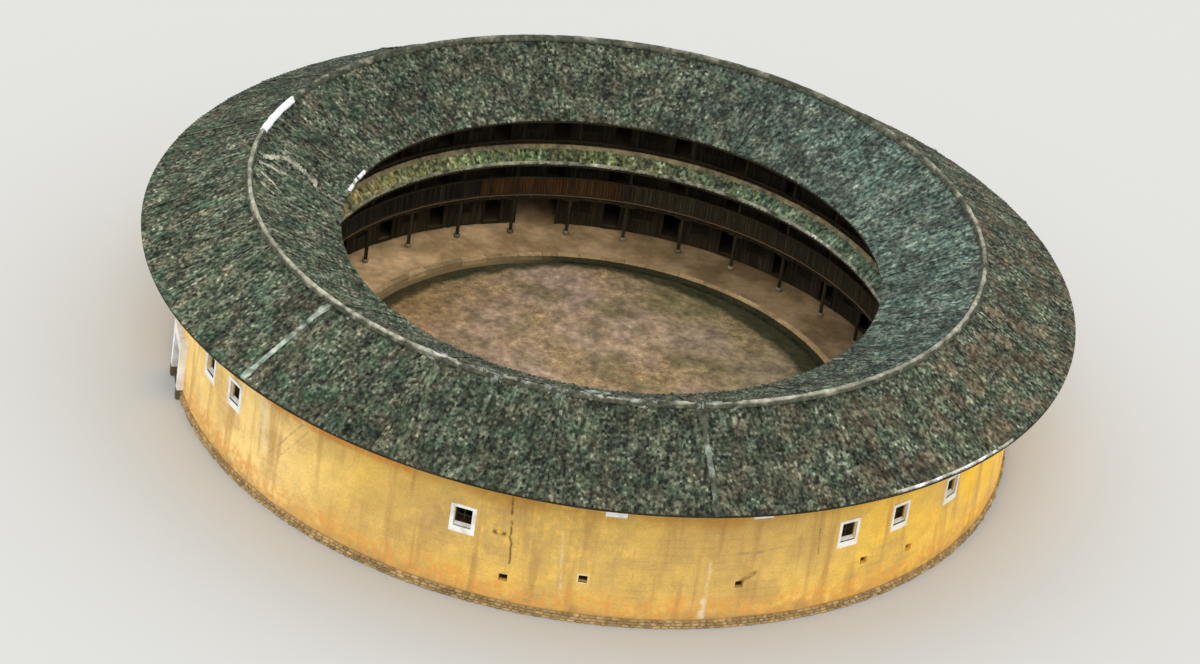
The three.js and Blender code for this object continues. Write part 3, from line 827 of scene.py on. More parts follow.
def sector_tiles(slope, middle):
    """One sector of a slope, as a grid across the columns and down them. The columns are parallel to the
    sector's middle line, at even offsets. Each starts at the head and ends at the eave or at the seam."""
    spread = np.radians(SECTOR / 2)
    shortest, longest = sorted((slope.head_radius, slope.eave_radius))
    half_width = longest * np.sin(spread) * 0.997
    columns = int(2 * half_width / TILE_PITCH * POINTS_ACROSS) + 1
    steps = 13 if slope is OUTER else 11
    offset = np.linspace(-half_width, half_width, columns)[:, None]
    near = np.maximum(np.sqrt(shortest ** 2 - np.minimum(np.abs(offset), shortest) ** 2),
                      np.abs(offset) / np.tan(spread))
    far = np.sqrt(longest ** 2 - offset ** 2)
    reach = near + (far - near) * np.linspace(0, 1, steps)[None]
    radius = np.hypot(reach, offset)
    azimuth = middle + np.degrees(np.arctan2(offset, reach))
    column = offset / TILE_PITCH + 0.5
    flat = on_ring(radius, azimuth, slope_height(slope, radius))
    lift = 0.02 * drift(flat, 1.4, 3) + 0.014 * drift(flat, 0.35, 4)
    grid = laid_tiles(slope, radius, azimuth, column, lift - 0.02)
    down = np.abs(radius - slope.eave_radius) / TILE_EXPOSURE
    return grid, pair(column + 100 + (middle % 360) * 10, down), tile_tone(slope, azimuth, radius)


def tile_tone(slope, azimuth, radius):
    """How pale the tiles are, 0.5 being plain: more on the left and right than at front and back, which is
    painted light. On the inner slope it is most where some were relaid on the left, least in a darker strip
    beyond those, and more again at the eave behind the strip."""
    if slope is OUTER:
        # Painted light: the outer slope's tiles are paler on its left and right sides.
        return 0.36 + 0.12 * near_azimuth(azimuth, -85, 20, 20) + 0.06 * near_azimuth(azimuth, 60, 20, 30)
    above_eave = slope.eave_radius - radius
    relaid = near_azimuth(azimuth, -102, 2.5, 2.5) * np.clip(3 - np.abs(radius - 17.8) * 3, 0, 1)
    # Painted light: the inner slope is paler on its left and right sides.
    sides = 0.12 * near_azimuth(azimuth, 90, 25, 30) + 0.1 * near_azimuth(azimuth, -90, 25, 30)
    # A darker strip down the slope below the white stretch of the ridge.
    damp = near_azimuth(azimuth, -119.5, 1.5, 3) * np.clip(radius - 15.5, 0.3, 1)
    edge = near_azimuth(azimuth, -150, 18, 10) * np.clip(above_eave * 4 + 1.6, 0, 1)
    return 0.37 + sides + 0.2 * relaid - 0.14 * damp + 0.3 * edge


def add_slope_tiles(name, slope, finish):
    """A ring slope in two halves, each of nine sectors of tiles."""
    for half_name, turn in (("front", 0), ("back", 180)):
        middles = FIRST_SEAM + SECTOR / 2 + turn + SECTOR * np.arange(9)
        grids, uv, tones = (np.stack(part) for part in zip(*(sector_tiles(slope, m) for m in middles)))
        pile = Pile()
        add_sheets(pile, grids, uv, TILE_THICKNESS, tones)
        place(pile, f"{name}_tiles_{half_name}", finish, "roof_tile", (f"{name}_roof_{half_name}",))


def add_waist_tiles(finish):
    """Waist roof: radial columns of tiles on two half rings, palest on the left at the back."""
    columns, steps = 196, 5
    for half_name, start in (("front", -90), ("back", 90)):
        column = np.linspace(0, columns, columns * POINTS_ACROSS + 1)[:, None]
        azimuth = start + column / columns * 180
        share = np.linspace(0, 1, steps)[None]
        radius = WAIST.head_radius + share * (WAIST.eave_radius - WAIST.head_radius)
        flat = on_ring(radius, azimuth, slope_height(WAIST, radius))
        lift = 0.015 * drift(flat, 1.1, 5)
        grid = laid_tiles(WAIST, radius, azimuth, column, lift - 0.01)
        uv = pair(column, (radius - WAIST.eave_radius) / TILE_EXPOSURE)
        tone = 0.52 + 0.24 * near_azimuth(azimuth, -130, 25, 20) + 0 * radius
        pile = Pile()
        add_sheets(pile, grid[None], uv[None], TILE_THICKNESS, tone[None])
        place(pile, f"waist_roof_tiles_{half_name}", finish, "roof_tile", (f"waist_roof_{half_name}",))


def add_waist_fillet(finish):
    """A fillet of clay mortar that seals the head of the waist roof against the balustrade."""
    head, top = WAIST.head_radius, WAIST.head_height
    seat = top - 0.16
    profile = [(head - 0.12, seat), (head, seat), (head, top + 0.08),
               (head - 0.04, top + 0.07), (head - 0.11, top - 0.04)]
    pile = Pile()
    add_ring(pile, profile, steps=512, tone=lambda a: 0.7 + 0.15 * np.sin(np.radians(a * 7)),
             uneven=0.01, seed=17)
    place(pile, "waist_roof_fillet", finish, "ridge_mortar", is_welded=True)


# The two kinds of seams, with how much broader one is at its ends.
Seam = namedtuple("Seam", "label half_width rise spread slot")
COVERED_SEAM = Seam("covered", 0.11, 0.05, 0, "roof_tile")
MORTARED_SEAM = Seam("mortared", 0.16, 0.08, 1, "ridge_mortar")


def seam_tone(slope, azimuth, share):
    """How white a seam's mortar is, by its azimuth and by how far down the slope it lies."""
    if slope is INNER:
        return 0 * share
    dashes = 0.75 + 0.25 * np.sin(share * 60)
    long_part = near_azimuth(azimuth, -59, 3, 1) * np.clip((share - 0.03) * 20, 0, 1) * dashes
    short_part = near_azimuth(azimuth, 1, 3, 1) * np.clip(2.2 - np.abs(share - 0.42) * 9, 0, 1)
    return np.maximum(long_part * 0.72, short_part * 0.28)


def seam_rings(slope, azimuths, share, kind):
    """Rings and UV of some seams: a half-round profile carried down the slope, stepped like laid tiles, and
    broader at the ends of mortared ones."""
    radius = slope.head_radius + share * (slope.eave_radius - slope.head_radius)
    turn = round_angles(8)
    step = 0.8 + 0.2 * np.mod(share * 23, 1)
    ends = np.exp(-((share - 0.07) / 0.07) ** 2) + 0.6 * np.exp(-((share - 0.93) / 0.05) ** 2)
    breadth = step * (1 + kind.spread * ends)
    centre = on_ring(radius[None], azimuths[:, None], slope_height(slope, radius)[None])
    across = on_ring(1.0, azimuths + 90, 0.0)[:, None, None]
    side = kind.half_width * np.cos(turn)[None, None, :, None] * breadth[None, :, None, None]
    up = kind.rise * np.sin(turn)[None, None, :, None] * step[None, :, None, None]
    rings = centre[:, :, None] + across * side + UP * up
    rings = rings + (0.02 * drift(rings, 0.5, 6))[..., None] * (across + UP * 0.5)
    along = np.abs(radius - slope.eave_radius) / TILE_EXPOSURE
    return rings, pair(turn[None, None] * 0.3 + azimuths[:, None, None], along[None, :, None])


def add_seams(name, slope, tile_finish, mortar_finish):
    """Rounded seams between the sectors: pale mortared ones, and others covered with dark tiles."""
    share = np.linspace(0.02, 0.996, 60)
    azimuths = FIRST_SEAM + SECTOR * np.arange(18.0)
    tones = np.stack([seam_tone(slope, a, share) for a in azimuths])
    is_mortared = tones.max(1) > 0.1
    for kind, chosen, finish, tone in (
        (COVERED_SEAM, ~is_mortared, tile_finish, 0.5),
        (MORTARED_SEAM, is_mortared, mortar_finish, tones[is_mortared][:, :, None]),
    ):
        if chosen.any():
            pile = Pile()
            add_tubes(pile, *seam_rings(slope, azimuths[chosen], share, kind), tone)
            place(pile, f"{name}_seams_{kind.label}", finish, kind.slot)


# The ridge's profile: sideways from its middle, above the slopes' meeting line, and how pale it is.
RIDGE_PROFILE = np.array([
    (0.19, -0.06, 0.0), (0.185, 0.04, 0.0), (0.14, 0.1, 0.1), (0.1, 0.12, 0.5), (0.09, 0.17, 1.0),
    (0.045, 0.22, 1.0), (-0.045, 0.22, 1.0), (-0.09, 0.17, 1.0), (-0.1, 0.12, 0.5), (-0.14, 0.1, 0.1),
    (-0.185, 0.04, 0.0), (-0.19, -0.06, 0.0), (0.0, -0.1, 0.0),
])


def ridge_tone(azimuth):
    """How pale the ridge is: white where it is new on the left, cream from there to the front, broken along
    the front, pale on the right, and dull behind."""
    dull = 0.22 + 0.12 * np.sin(np.radians(azimuth * 11)) * np.sin(np.radians(azimuth * 4 + 30))
    broken = drift(on_ring(OUTER.head_radius, azimuth, 0.0), 2.4, 21)
    left = (0.42 + 0.06 * broken) * near_azimuth(azimuth, -79, 36, 10)
    front = (0.26 + 0.4 * broken) * near_azimuth(azimuth, -16, 20, 8)
    right = (0.4 + 0.12 * broken) * near_azimuth(azimuth, 50, 38, 15)
    return np.maximum(dull + left + right + front, 1.4 * near_azimuth(azimuth, -119, 6, 0.6))


def add_ridge(finish):
    """Ridge: bedded tile courses with a bead of mortar on top, carried round the house. The courses ripple
    with the tiles, and all of it is uneven, most at the front."""
    count = 1440
    azimuth = np.linspace(-180, 180, count + 1)[:, None]
    side, up, shown = RIDGE_PROFILE.T
    ripple = 1 - 0.08 * (0.5 + 0.5 * np.cos(np.radians(azimuth) * 480)) * (up < 0.15)
    is_front = near_azimuth(azimuth, -18, 26, 10)
    breadth = 1 + 0.22 * is_front * drift(on_ring(OUTER.head_radius, azimuth, 0.0), 1.1, 22)
    radius, height = OUTER.head_radius + side * breadth, OUTER.head_height + up * ripple
    rings = on_ring(radius, azimuth, height)
    lumps = 0.014 * drift(rings, 0.5, 7)
    lumps = lumps + 0.02 * is_front * drift(rings, 0.3, 23)
    rings = rings + lumps[..., None] * (UP + on_ring(1.0, azimuth, 0.0))
    rings[..., 2] = np.minimum(rings[..., 2], OUTER.head_height + RIDGE_RISE)
    rings[-1] = rings[0]
    step = np.cumsum(np.hypot(np.gradient(side), np.gradient(up)))
    uv = pair(np.radians(azimuth) * OUTER.head_radius, step) * METRE
    strength = ridge_tone(azimuth)
    tone = strength * np.maximum(shown, np.clip(strength * 4 - 4, 0, 1)) + 0 * up
    pile = Pile()
    add_tubes(pile, rings[None], uv[None], tone[None], is_capped=False)
    place(pile, "ridge_cap", finish, "ridge_mortar", ("roof_ridge",), is_welded=True, crease=70)


# Height of the bead's side above the ridge line, at two distances from its middle.
BEAD_HEIGHTS = ((0.05, 0.24), (0.2, -0.13))

# Patches of mortar that fill the ridge out on the inner side: azimuth, radius, half length round the house,
# half width, how pale each is. Their tops lie at one height above the ridge line.
RIDGE_PATCHES = (
    (-14.2, 18.5, 0.75, 0.2, 0.62), (-30.5, 18.6, 0.5, 0.16, 0.4), (-24.5, 18.6, 0.35, 0.15, 0.3),
    (-6.5, 18.58, 0.4, 0.15, 0.35), (-38, 18.62, 0.4, 0.14, 0.4),
)
PATCH_RISE = 0.1


def add_ridge_dabs(finish):
    """Dabs and patches of mortar along the front of the ridge, where its tiles were bedded again. Each is a
    low mound: an uneven oval that shrinks as it rises from the tiles."""
    count, sides = 260, 9
    chance = np.random.default_rng(24)
    dabs = np.stack((
        chance.uniform(-41, 8, count),
        OUTER.head_radius + chance.normal(-0.08, 0.12, count),
        chance.uniform(0.07, 0.2, count),
        chance.uniform(0.05, 0.11, count),
        chance.uniform(-0.2, 0.74, count),
    ), -1)
    azimuth, radius, long, wide, tone = np.concatenate((dabs, RIDGE_PATCHES)).T[:, :, None, None]
    turn = round_angles(sides)
    jitter = chance.uniform(0.75, 1.1, (len(azimuth), 1, sides))
    shrink = np.array([1.0, 0.95, 0.6])[None, :, None] * jitter
    reach = radius + wide * np.sin(turn) * shrink
    angle = azimuth + np.degrees(long * np.cos(turn) * shrink / OUTER.head_radius)
    slope = np.minimum(slope_height(OUTER, reach), slope_height(INNER, reach))
    bead = OUTER.head_height + np.interp(np.abs(reach - OUTER.head_radius), *BEAD_HEIGHTS)
    seat = np.maximum(slope, bead)
    seat[count:, 1:] = OUTER.head_height + PATCH_RISE
    rise = np.array([-0.08, 0.03, 0.06])
    rings = on_ring(reach, angle, seat + rise[None, :, None])
    rings[..., 2] = np.minimum(rings[..., 2], OUTER.head_height + RIDGE_RISE + 0.006)
    pile = Pile()
    add_tubes(pile, rings, pair(angle, reach * METRE), tone)
    place(pile, "ridge_mortar_dabs", finish, "ridge_mortar", crease=70)


# Eave mortar: name, slope, from and to which azimuth, how pale, its lap over the tiles, and 1 or -1 where the
# eave is farther out or farther in than the ridge.
EAVE_MORTARS = (
    ("outer_eave_mortar", OUTER, 23.5, 44.5, 0.88, 0.1, 1),
    ("inner_eave_mortar", INNER, -123, -113, 1.25, 0.16, -1),
    ("waist_eave_mortar", WAIST, -180, 180, 0.62, 0.09, -1),
)


def add_eave_mortar(finish):
    """Stretches of both eaves, and the whole eave of the waist roof, where the tile ends are bedded in pale
    mortar, which laps over them in lumps."""
    for name, slope, start, end, tone, lap, inward in EAVE_MORTARS:
        radius = slope.eave_radius - 0.012 * inward
        back = radius - lap * inward
        top = slope.eave_height
        rise = slope_height(slope, back) - top
        foot = top - 0.8 * lap
        profile = [(back, top + rise - 0.03),
                   (back + 0.03 * inward, top + rise + 0.01),
                   (radius - 0.02 * inward, top + 0.02),
                   (radius, top - 0.02), (radius, foot), (back, foot)]
        pile = Pile()
        add_ring(pile, profile, start, end, min(int((end - start) * 8), 720),
                 tone=lambda a: tone + 0.4 * drift(on_ring(radius, a, top), 0.7, 19),
                 uneven=0.018, seed=8)
        place(pile, name, finish, "ridge_mortar", is_welded=True)


# Streaks of bare mortar on the inner slope: least and greatest half width, and the places they pass through,
# each an azimuth and a radius.
BARE_STREAKS = (
    (0.14, 0.34, ((-106.3, 18.3), (-107.5, 17.95), (-110.0, 17.25), (-109.9, 16.6), (-109.2, 16.1),
                  (-107.8, 15.45))),
    (0.06, 0.17, ((-104.0, 18.4), (-104.6, 17.8), (-104.1, 17.15))),
    (0.06, 0.17, ((-101.3, 18.25), (-100.2, 17.65), (-97.9, 17.1))),
    (0.06, 0.15, ((-97.9, 18.2), (-96.3, 17.5))),
)


def add_bare_streaks(finish):
    """Crooked streaks of bare mortar on the inner slope, left where tiles have slipped: flat lumpy strips."""
    pile = Pile()
    chance = np.random.default_rng(18)
    steps_a_place = 10
    turn = round_angles(8)
    for narrow, broad, places in BARE_STREAKS:
        corners = np.array(places)
        steps = steps_a_place * len(corners)
        share = np.linspace(0, len(corners) - 1, steps)
        azimuth, radius = (np.interp(share, np.arange(len(corners)), corners[:, k]) for k in (0, 1))
        width = chance.uniform(narrow, broad, steps)[:, None]
        centre = on_ring(radius, azimuth, slope_height(INNER, radius))[:, None]
        across = on_ring(1.0, azimuth + 90, 0.0)[:, None]
        rings = centre + across * (width * np.cos(turn))[..., None]
        rings = rings + UP * (0.04 * np.sin(turn))[None, :, None]
        uv = pair(share[:, None], turn[None])
        add_tubes(pile, rings[None], uv[None], chance.uniform(0.4, 0.85, steps)[None, :, None])
    place(pile, "bare_mortar_streaks", finish, "ridge_mortar")


# A ring in even facets, for rafters, beams and rails.
FACETS = 64
FACET = 5.625
FACET_AZIMUTHS = np.arange(FACETS) * FACET

# Timbers of a slope: rafters in each facet, how far inside the eave they stop, and how deep they reach.
ROOF_TIMBERS = (
    (OUTER, 5, 0.05, ROOF_DEPTH),
    (INNER, 4, -0.05, ROOF_DEPTH),
    (WAIST, 3, -0.03, 0.2),
)


def add_roof_timbers(finish, finish_boards):
    """Sheathing boards under the tiles, rafters under those, and an eave board across the rafter ends."""
    boards = Pile()
    rafters = Pile()
    for slope, per_facet, rim, depth in ROOF_TIMBERS:
        eave = slope.eave_radius - rim
        near, far = sorted((slope.head_radius, eave))
        top = np.array([slope_height(slope, radius) for radius in (near, far)])
        under = top - SHEATHING_TOP - SHEATHING_DEPTH
        add_ring(boards, section(near, far, under, top - SHEATHING_TOP))
        azimuths = np.arange(FACETS * per_facet) * FACET / per_facet
        add_bars(rafters, azimuths, (near, far), RAFTER_WIDTH / 2, tuple(top - depth), tuple(under), RADIAL)
        board_near, board_far = sorted((eave, slope.eave_radius - rim * 0.4))
        height = slope_height(slope, slope.eave_radius)
        add_ring(rafters, section(board_near, board_far, height - 0.2, height - 0.07))
    place(boards, "roof_sheathing", finish_boards, "old_timber", is_welded=True)
    place(rafters, "roof_rafters", finish, "old_timber", is_welded=True)


def add_eave_carriers(finish):
    """Beams that stand out from the wall head and from the gallery posts, with the purlins on them, and the
    beams under the waist roof."""
    pile = Pile()
    for slope, purlin, half, tall, azimuths, reach, width, low in (
        (OUTER, 22.85, 0.08, 0.16, FACET_AZIMUTHS, (20.8, 23.2),
         0.075, None),
        (INNER, 14.65, -0.07, 0.14, POST_AZIMUTHS, (14.4, FRONT_FAR),
         0.06, THIRD_FRONT_TOP),
    ):
        under = slope_height(slope, purlin + half) - ROOF_DEPTH
        add_ring(pile, section(purlin - abs(half), purlin + abs(half), under - tall, under))
        low = low or under - tall - 0.2
        add_bars(pile, azimuths, reach, width, low, under - tall, RADIAL)
    waist_reach = (15.0, SECOND_FLOOR_EDGE + 0.4)
    add_bars(pile, FACET_AZIMUTHS, waist_reach, 0.05, 5.0, 5.12, RADIAL)
    place(pile, "eave_carriers", finish, "old_timber", is_welded=True)


def wall_openings():
    """Every opening of the outer wall: azimuth, half width, lowest and highest point, as four arrays."""
    rows = [(a, WINDOW_HALF_WIDTH, z, WINDOW_HALF_HEIGHT) for a, z in zip(WINDOW_AZIMUTHS, WINDOW_MIDDLES)]
    rows += [(a, VENT_HALF_WIDTH, z, VENT_HALF_HEIGHT) for a, z in VENTS]
    azimuth, half_width, middle, half_height = np.array(rows).T
    low = np.append(middle - half_height, 0)
    high = np.append(middle + half_height, GATE_TOP)
    azimuth = np.append((azimuth + 180) % 360 - 180, GATE_AZIMUTH)
    return azimuth, np.append(half_width, GATE_HALF_WIDTH), low, high


def with_edges(regular, edges, clear):
    """Regular grid lines and the edges that must be lines too, without regular lines close to an edge."""
    edges = np.unique(np.round(edges, 6))
    away = np.abs(regular[:, None] - edges[None]).min(1)
    return np.sort(np.concatenate((regular[away > clear], edges)))


def wall_faces(is_wall):
    """Faces on the grid of the wall's face and on the same grid at its back, without those in the openings,
    with the top, the foot and the reveals between the two grids. The back's points follow the face's."""
    columns, rows = is_wall.shape[0] + 1, is_wall.shape[1] + 1
    front = np.arange(columns * rows).reshape(columns, rows)
    back = front + columns * rows
    left_has_wall = np.roll(is_wall, 1, axis=0)
    foot_has_wall = np.concatenate((is_wall[:, :1], is_wall[:, :-1]), axis=1)
    upright = np.stack((front[:-1, :-1], front[:-1, 1:], back[:-1, 1:], back[:-1, :-1]), -1)
    level = np.stack((front[:-1, :-1], front[1:, :-1], back[1:, :-1], back[:-1, :-1]), -1)
    return np.concatenate((
        np.stack((front[:-1, :-1], front[1:, :-1], front[1:, 1:], front[:-1, 1:]), -1)[is_wall],
        np.stack((back[:-1, :-1], back[:-1, 1:], back[1:, 1:], back[1:, :-1]), -1)[is_wall],
        np.stack((front[:-1, -1], front[1:, -1], back[1:, -1], back[:-1, -1]), -1)[is_wall[:, -1]],
        np.stack((front[:-1, 0], back[:-1, 0], back[1:, 0], front[1:, 0]), -1)[is_wall[:, 0]],
        upright[left_has_wall & ~is_wall][:, ::-1],
        upright[is_wall & ~left_has_wall],
        level[foot_has_wall & ~is_wall],
        level[is_wall & ~foot_has_wall][:, ::-1],
    ))


def add_wall(finish):
    """Outer wall: a face and a back on the same grid of azimuths and heights, both left out at the openings,
    with the reveals between their edges. The face bulges and is worn a little. Its tone is high on the right
    and low on the left: on the right it makes the earth more orange and, as painted light, brighter."""
    middle, half_width, low, high = wall_openings()
    spread = np.degrees(half_width / WALL_FOOT_RADIUS)
    azimuth = with_edges(np.linspace(-180, 180, 561), np.concatenate((middle - spread, middle + spread)), 0.3)
    ledges = np.array([SECOND_FLOOR, THIRD_FLOOR]) - FLOOR_DEPTH
    edges = np.concatenate((low[low > FOOTING_TOP], high, ledges - 0.01, ledges + 0.01))
    height = with_edges(np.linspace(FOOTING_TOP, WALL_TOP_HEIGHT, 36), edges, 0.05)
    height = np.unique(np.concatenate(([FOOTING_TOP], height, [WALL_TOP_HEIGHT])))
    storey = (height[None] > ledges[:, None]).sum(0)
    back_height = height.copy()
    back_height[-1] = slope_height(OUTER, WALL_INNER_RADII[2]) - ROOF_DEPTH
    face = on_ring(wall_radius(height)[None], azimuth[:, None], height[None])
    hollow = 0.018 * (1 + drift(face, 2.2, 9))
    hollow = hollow + 0.008 * (1 + drift(face, 0.6, 10))
    face = on_ring(wall_radius(height)[None] - hollow, azimuth[:, None], height[None])
    back = on_ring(np.array(WALL_INNER_RADII)[storey][None], azimuth[:, None], back_height[None])
    face[-1] = face[0]
    back[-1] = back[0]
    centre_azimuth = (azimuth[1:] + azimuth[:-1])[:, None, None] / 2
    centre_height = (height[1:] + height[:-1])[None, :, None] / 2
    away = np.abs((centre_azimuth - middle + 180) % 360 - 180)
    is_open = ((away < spread) & (centre_height > low) & (centre_height < high)).any(-1)
    uv = pair(np.radians(azimuth)[:, None] * WALL_FOOT_RADIUS, height[None]) * METRE
    # The tone sets the earth's hue, and on the right painted light as well.
    warmth_and_painted_light = 0.55 - 0.75 * near_azimuth(azimuth, -85, 20, 22) + 0.5 * near_azimuth(azimuth, 60, 18, 25)
    tone = np.broadcast_to(np.clip(warmth_and_painted_light, 0, 1)[:, None], uv.shape[:2])
    pile = Pile()
    both_uv = np.stack((uv, uv)).reshape(-1, 2)
    pile.add(np.stack((face, back)), wall_faces(~is_open), both_uv, np.stack((tone, tone)))
    nodes = [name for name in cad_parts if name.startswith("outer_wall")]
    place(pile, "earth_wall", finish, "rammed_earth", nodes, is_welded=True, crease=50)


def add_window_plaster(finish):
    """Plaster of the windows: a border, wider below and narrower on the right and on the third storey, a sill
    that slopes outwards, and a lining on both sides and at the top."""
    wide, bottom, top = WINDOW_HALF_WIDTH, WINDOW_BOTTOMS, WINDOW_TOPS
    face = wall_radius(WINDOW_MIDDLES)
    low, high = bottom - BORDER_BELOW, top + BORDER * 0.8
    border = BORDER - 0.07 * near_azimuth(WINDOW_AZIMUTHS, 40, 15, 5)
    border = np.where(WINDOW_MIDDLES == SECOND_WINDOW_HEIGHT, border, THIRD_BORDER)
    on_face = (face - 0.08, face + PLASTER_DEPTH)
    sill = (face - WINDOW_TIMBER_FRONT, face - 0.08)
    lining = (face - 0.15, face - 0.08)
    lining_edge = wide - PLASTER_DEPTH
    pile = Pile()
    for reach, side, foot, head in (
        (on_face, (-wide - border, -wide), low, high),
        (on_face, (wide, wide + border), low, high),
        (on_face, wide, low, bottom),
        (on_face, wide, top, high),
        (sill, wide, bottom, (bottom + 0.11, bottom + 0.01)),
        (lining, (-wide, -lining_edge), bottom, top),
        (lining, (lining_edge, wide), bottom, top),
        (lining, wide, top - PLASTER_DEPTH, top),
    ):
        add_bars(pile, WINDOW_AZIMUTHS, reach, side, foot, head)
    bevel(place(pile, "window_plaster", finish, "limewash"), 0.008)


def add_vent_rim(finish):
    """A plaster rim round one vent."""
    azimuth, middle = RIMMED_VENT
    face = wall_radius(middle)
    wide, tall = VENT_HALF_WIDTH, VENT_HALF_HEIGHT
    rim_wide, rim_tall = wide + VENT_RIM, tall + VENT_RIM
    pile = Pile()
    for side, low, high in (
        ((-rim_wide, -wide), -rim_tall, rim_tall),
        ((wide, rim_wide), -rim_tall, rim_tall),
        (wide, -rim_tall, -tall),
        (wide, tall, rim_tall),
    ):
        add_bars(pile, azimuth, (face - 0.1, face), side, middle + low, middle + high)
    bevel(place(pile, "vent_plaster", finish, "limewash"), 0.008)


def add_window_timbers(finish):
    """A timber frame with a cross in each window."""
    face = wall_radius(WINDOW_MIDDLES)
    near, far = face - WINDOW_TIMBER_BACK, face - WINDOW_TIMBER_FRONT
    wide, bottom, top = WINDOW_HALF_WIDTH, WINDOW_BOTTOMS, WINDOW_TOPS
    stile, cross = 0.06, 0.028
    pile = Pile()
    for side in ((-wide, -wide + stile), cross, (wide - stile, wide)):
        add_bars(pile, WINDOW_AZIMUTHS, (near, far), side, bottom, top)
    for low, high in (
        (bottom, bottom + 0.13),
        (WINDOW_MIDDLES - cross, WINDOW_MIDDLES + cross),
        (top - stile, top),
    ):
        add_bars(pile, WINDOW_AZIMUTHS, (near + 0.01, far - 0.01), wide, low, high, ACROSS)
    place(pile, "window_timbers", finish, "old_timber")


def stone_courses(chance, gap, tall):
    """Azimuth, height and width of each footing stone: courses of random lengths that leave out the gate."""
    azimuths, heights, widths = [], [], []
    for course in range(FOOTING_COURSES):
        cuts = np.degrees(np.cumsum(chance.uniform(0.24, 0.48, 420)) / FOOTING_RADIUS)
        cuts = cuts[cuts < 360 - 2 * gap]
        azimuths.append(GATE_AZIMUTH + gap + (cuts[1:] + cuts[:-1]) / 2)
        widths.append(np.radians(cuts[1:] - cuts[:-1]) * FOOTING_RADIUS)
        heights.append(np.full(len(cuts) - 1, (course + 0.5) * tall))
    return (np.concatenate(values)[:, None, None] for values in (azimuths, heights, widths))


def add_footing(stone, mud):
    """Footing: a mud-bedded core with rounded field stones on its face, in staggered courses. Each stone is a
    row of rounded rings that grow smaller outwards."""
    gap = np.degrees(GATE_HALF_WIDTH / FOOTING_RADIUS)
    face = FOOTING_RADIUS - 0.09
    bed = face - 0.02
    top = FOOTING_TOP - 0.002
    core = Pile()
    profile = [(FOOTING_INNER_RADIUS, 0), (face, 0), (bed, top), (FOOTING_INNER_RADIUS, top)]
    add_ring(core, profile, GATE_AZIMUTH + gap, GATE_AZIMUTH + 360 - gap, 360, uneven=0.01, seed=11)
    place(core, "footing_core", mud, "field_stone", both_halves("footing"))
    chance = np.random.default_rng(12)
    tall = top / FOOTING_COURSES
    azimuth, height, width = stone_courses(chance, gap, tall)
    count, around = len(azimuth), 8
    turn = round_angles(around, 0.5)
    squarish = [np.sign(wave) * np.abs(wave) ** 0.6 for wave in (np.cos(turn), np.sin(turn))]
    shrink = np.array([1.0, 1.0, 0.86, 0.5])[None, :, None]
    depth = np.array([0.0, 0.55, 0.9, 1.0])[None, :, None]
    jut = chance.uniform(0.05, 0.1, (count, 1, 1))
    jitter = chance.uniform(0.82, 1.0, (count, 1, around))
    side = width / 2 * 0.98 * squarish[0] * shrink * jitter
    up = tall / 2 * 0.96 * squarish[1] * shrink * jitter
    radius = np.minimum(bed + depth * (jut + 0.02), FOOTING_RADIUS + 0.02)
    angle = azimuth + np.degrees(side / FOOTING_RADIUS)
    pile = Pile()
    rings = on_ring(radius, angle, height + up)
    add_tubes(pile, rings, pair(angle, (height + up) * METRE), chance.uniform(0, 1, (count, 1, 1)))
    place(pile, "footing_stones", stone, "field_stone", crease=80)


def add_gate(plaster, stone, wood):
    """Gate: a whitewashed surround on stone blocks, and the timber door frame in the passage."""
    wide, outer = GATE_HALF_WIDTH, SURROUND_HALF_WIDTH
    block, post = wide - 0.004, wide - 0.14
    on_face = (SURROUND_BACK, SURROUND_RADIUS)
    set_back = (SURROUND_BACK, SURROUND_RADIUS - 0.02)
    cap = SURROUND_TOP - 0.1
    white, blocks, timbers = Pile(), Pile(), Pile()
    for side, post_side in (((-outer, -block), (-wide, -post)), ((block, outer), (post, wide))):
        add_bars(white, GATE_AZIMUTH, set_back, side, BLOCK_TOP, GATE_TOP)
        add_bars(blocks, GATE_AZIMUTH, on_face, side, 0.0, BLOCK_TOP, ACROSS)
        add_bars(timbers, GATE_AZIMUTH, DOOR_FRAME, post_side, 0.3, GATE_TOP)
    add_bars(white, GATE_AZIMUTH, set_back, outer, GATE_TOP, cap)
    add_bars(white, GATE_AZIMUTH, on_face, outer, cap, SURROUND_TOP)
    add_bars(timbers, GATE_AZIMUTH, DOOR_FRAME, wide, GATE_TOP - 0.16, GATE_TOP, ACROSS)
    bevel(place(white, "gate_plaster", plaster, "limewash", ("gate_surround",)), 0.015)
    bevel(place(blocks, "gate_blocks", stone, "field_stone"), 0.015)
    place(timbers, "gate_frame", wood, "old_timber")


def add_raised_floor(finish):
    """The raised ring under the rooms and the veranda."""
    top = GROUND_FLOOR - 0.01
    inner, outer = KERB_RADIUS - 0.04, FOOTING_INNER_RADIUS - 0.01
    pile = Pile()
    add_ring(pile, [(inner, 0), (outer, 0), (outer, top), ((inner + outer) / 2, top), (inner, top)])
    place(pile, "ground_floor_paving", finish, "beaten_floor", both_halves("ground_floor"), is_welded=True)


def add_kerb(finish):
    """The veranda's kerb: long stones of random lengths that fill the ring."""
    chance = np.random.default_rng(13)
    cuts = np.cumsum(chance.uniform(0.8, 1.5, 120))
    cuts = cuts / cuts[np.searchsorted(cuts, 2 * np.pi * DRAIN_RADIUS)] * 360
    cuts = np.concatenate(([0], cuts[cuts <= 360 + SAME_POINT]))
    middle = (cuts[1:] + cuts[:-1]) / 2
    half = np.radians(cuts[1:] - cuts[:-1]) / 2 * DRAIN_RADIUS - 0.006
    top = GROUND_FLOOR - chance.uniform(0, 0.012, len(middle))
    pile = Pile()
    add_bars(pile, middle, (DRAIN_RADIUS, KERB_RADIUS), half, 0.0, top, ACROSS)
    bevel(place(pile, "veranda_kerb", finish, "field_stone"), 0.012)


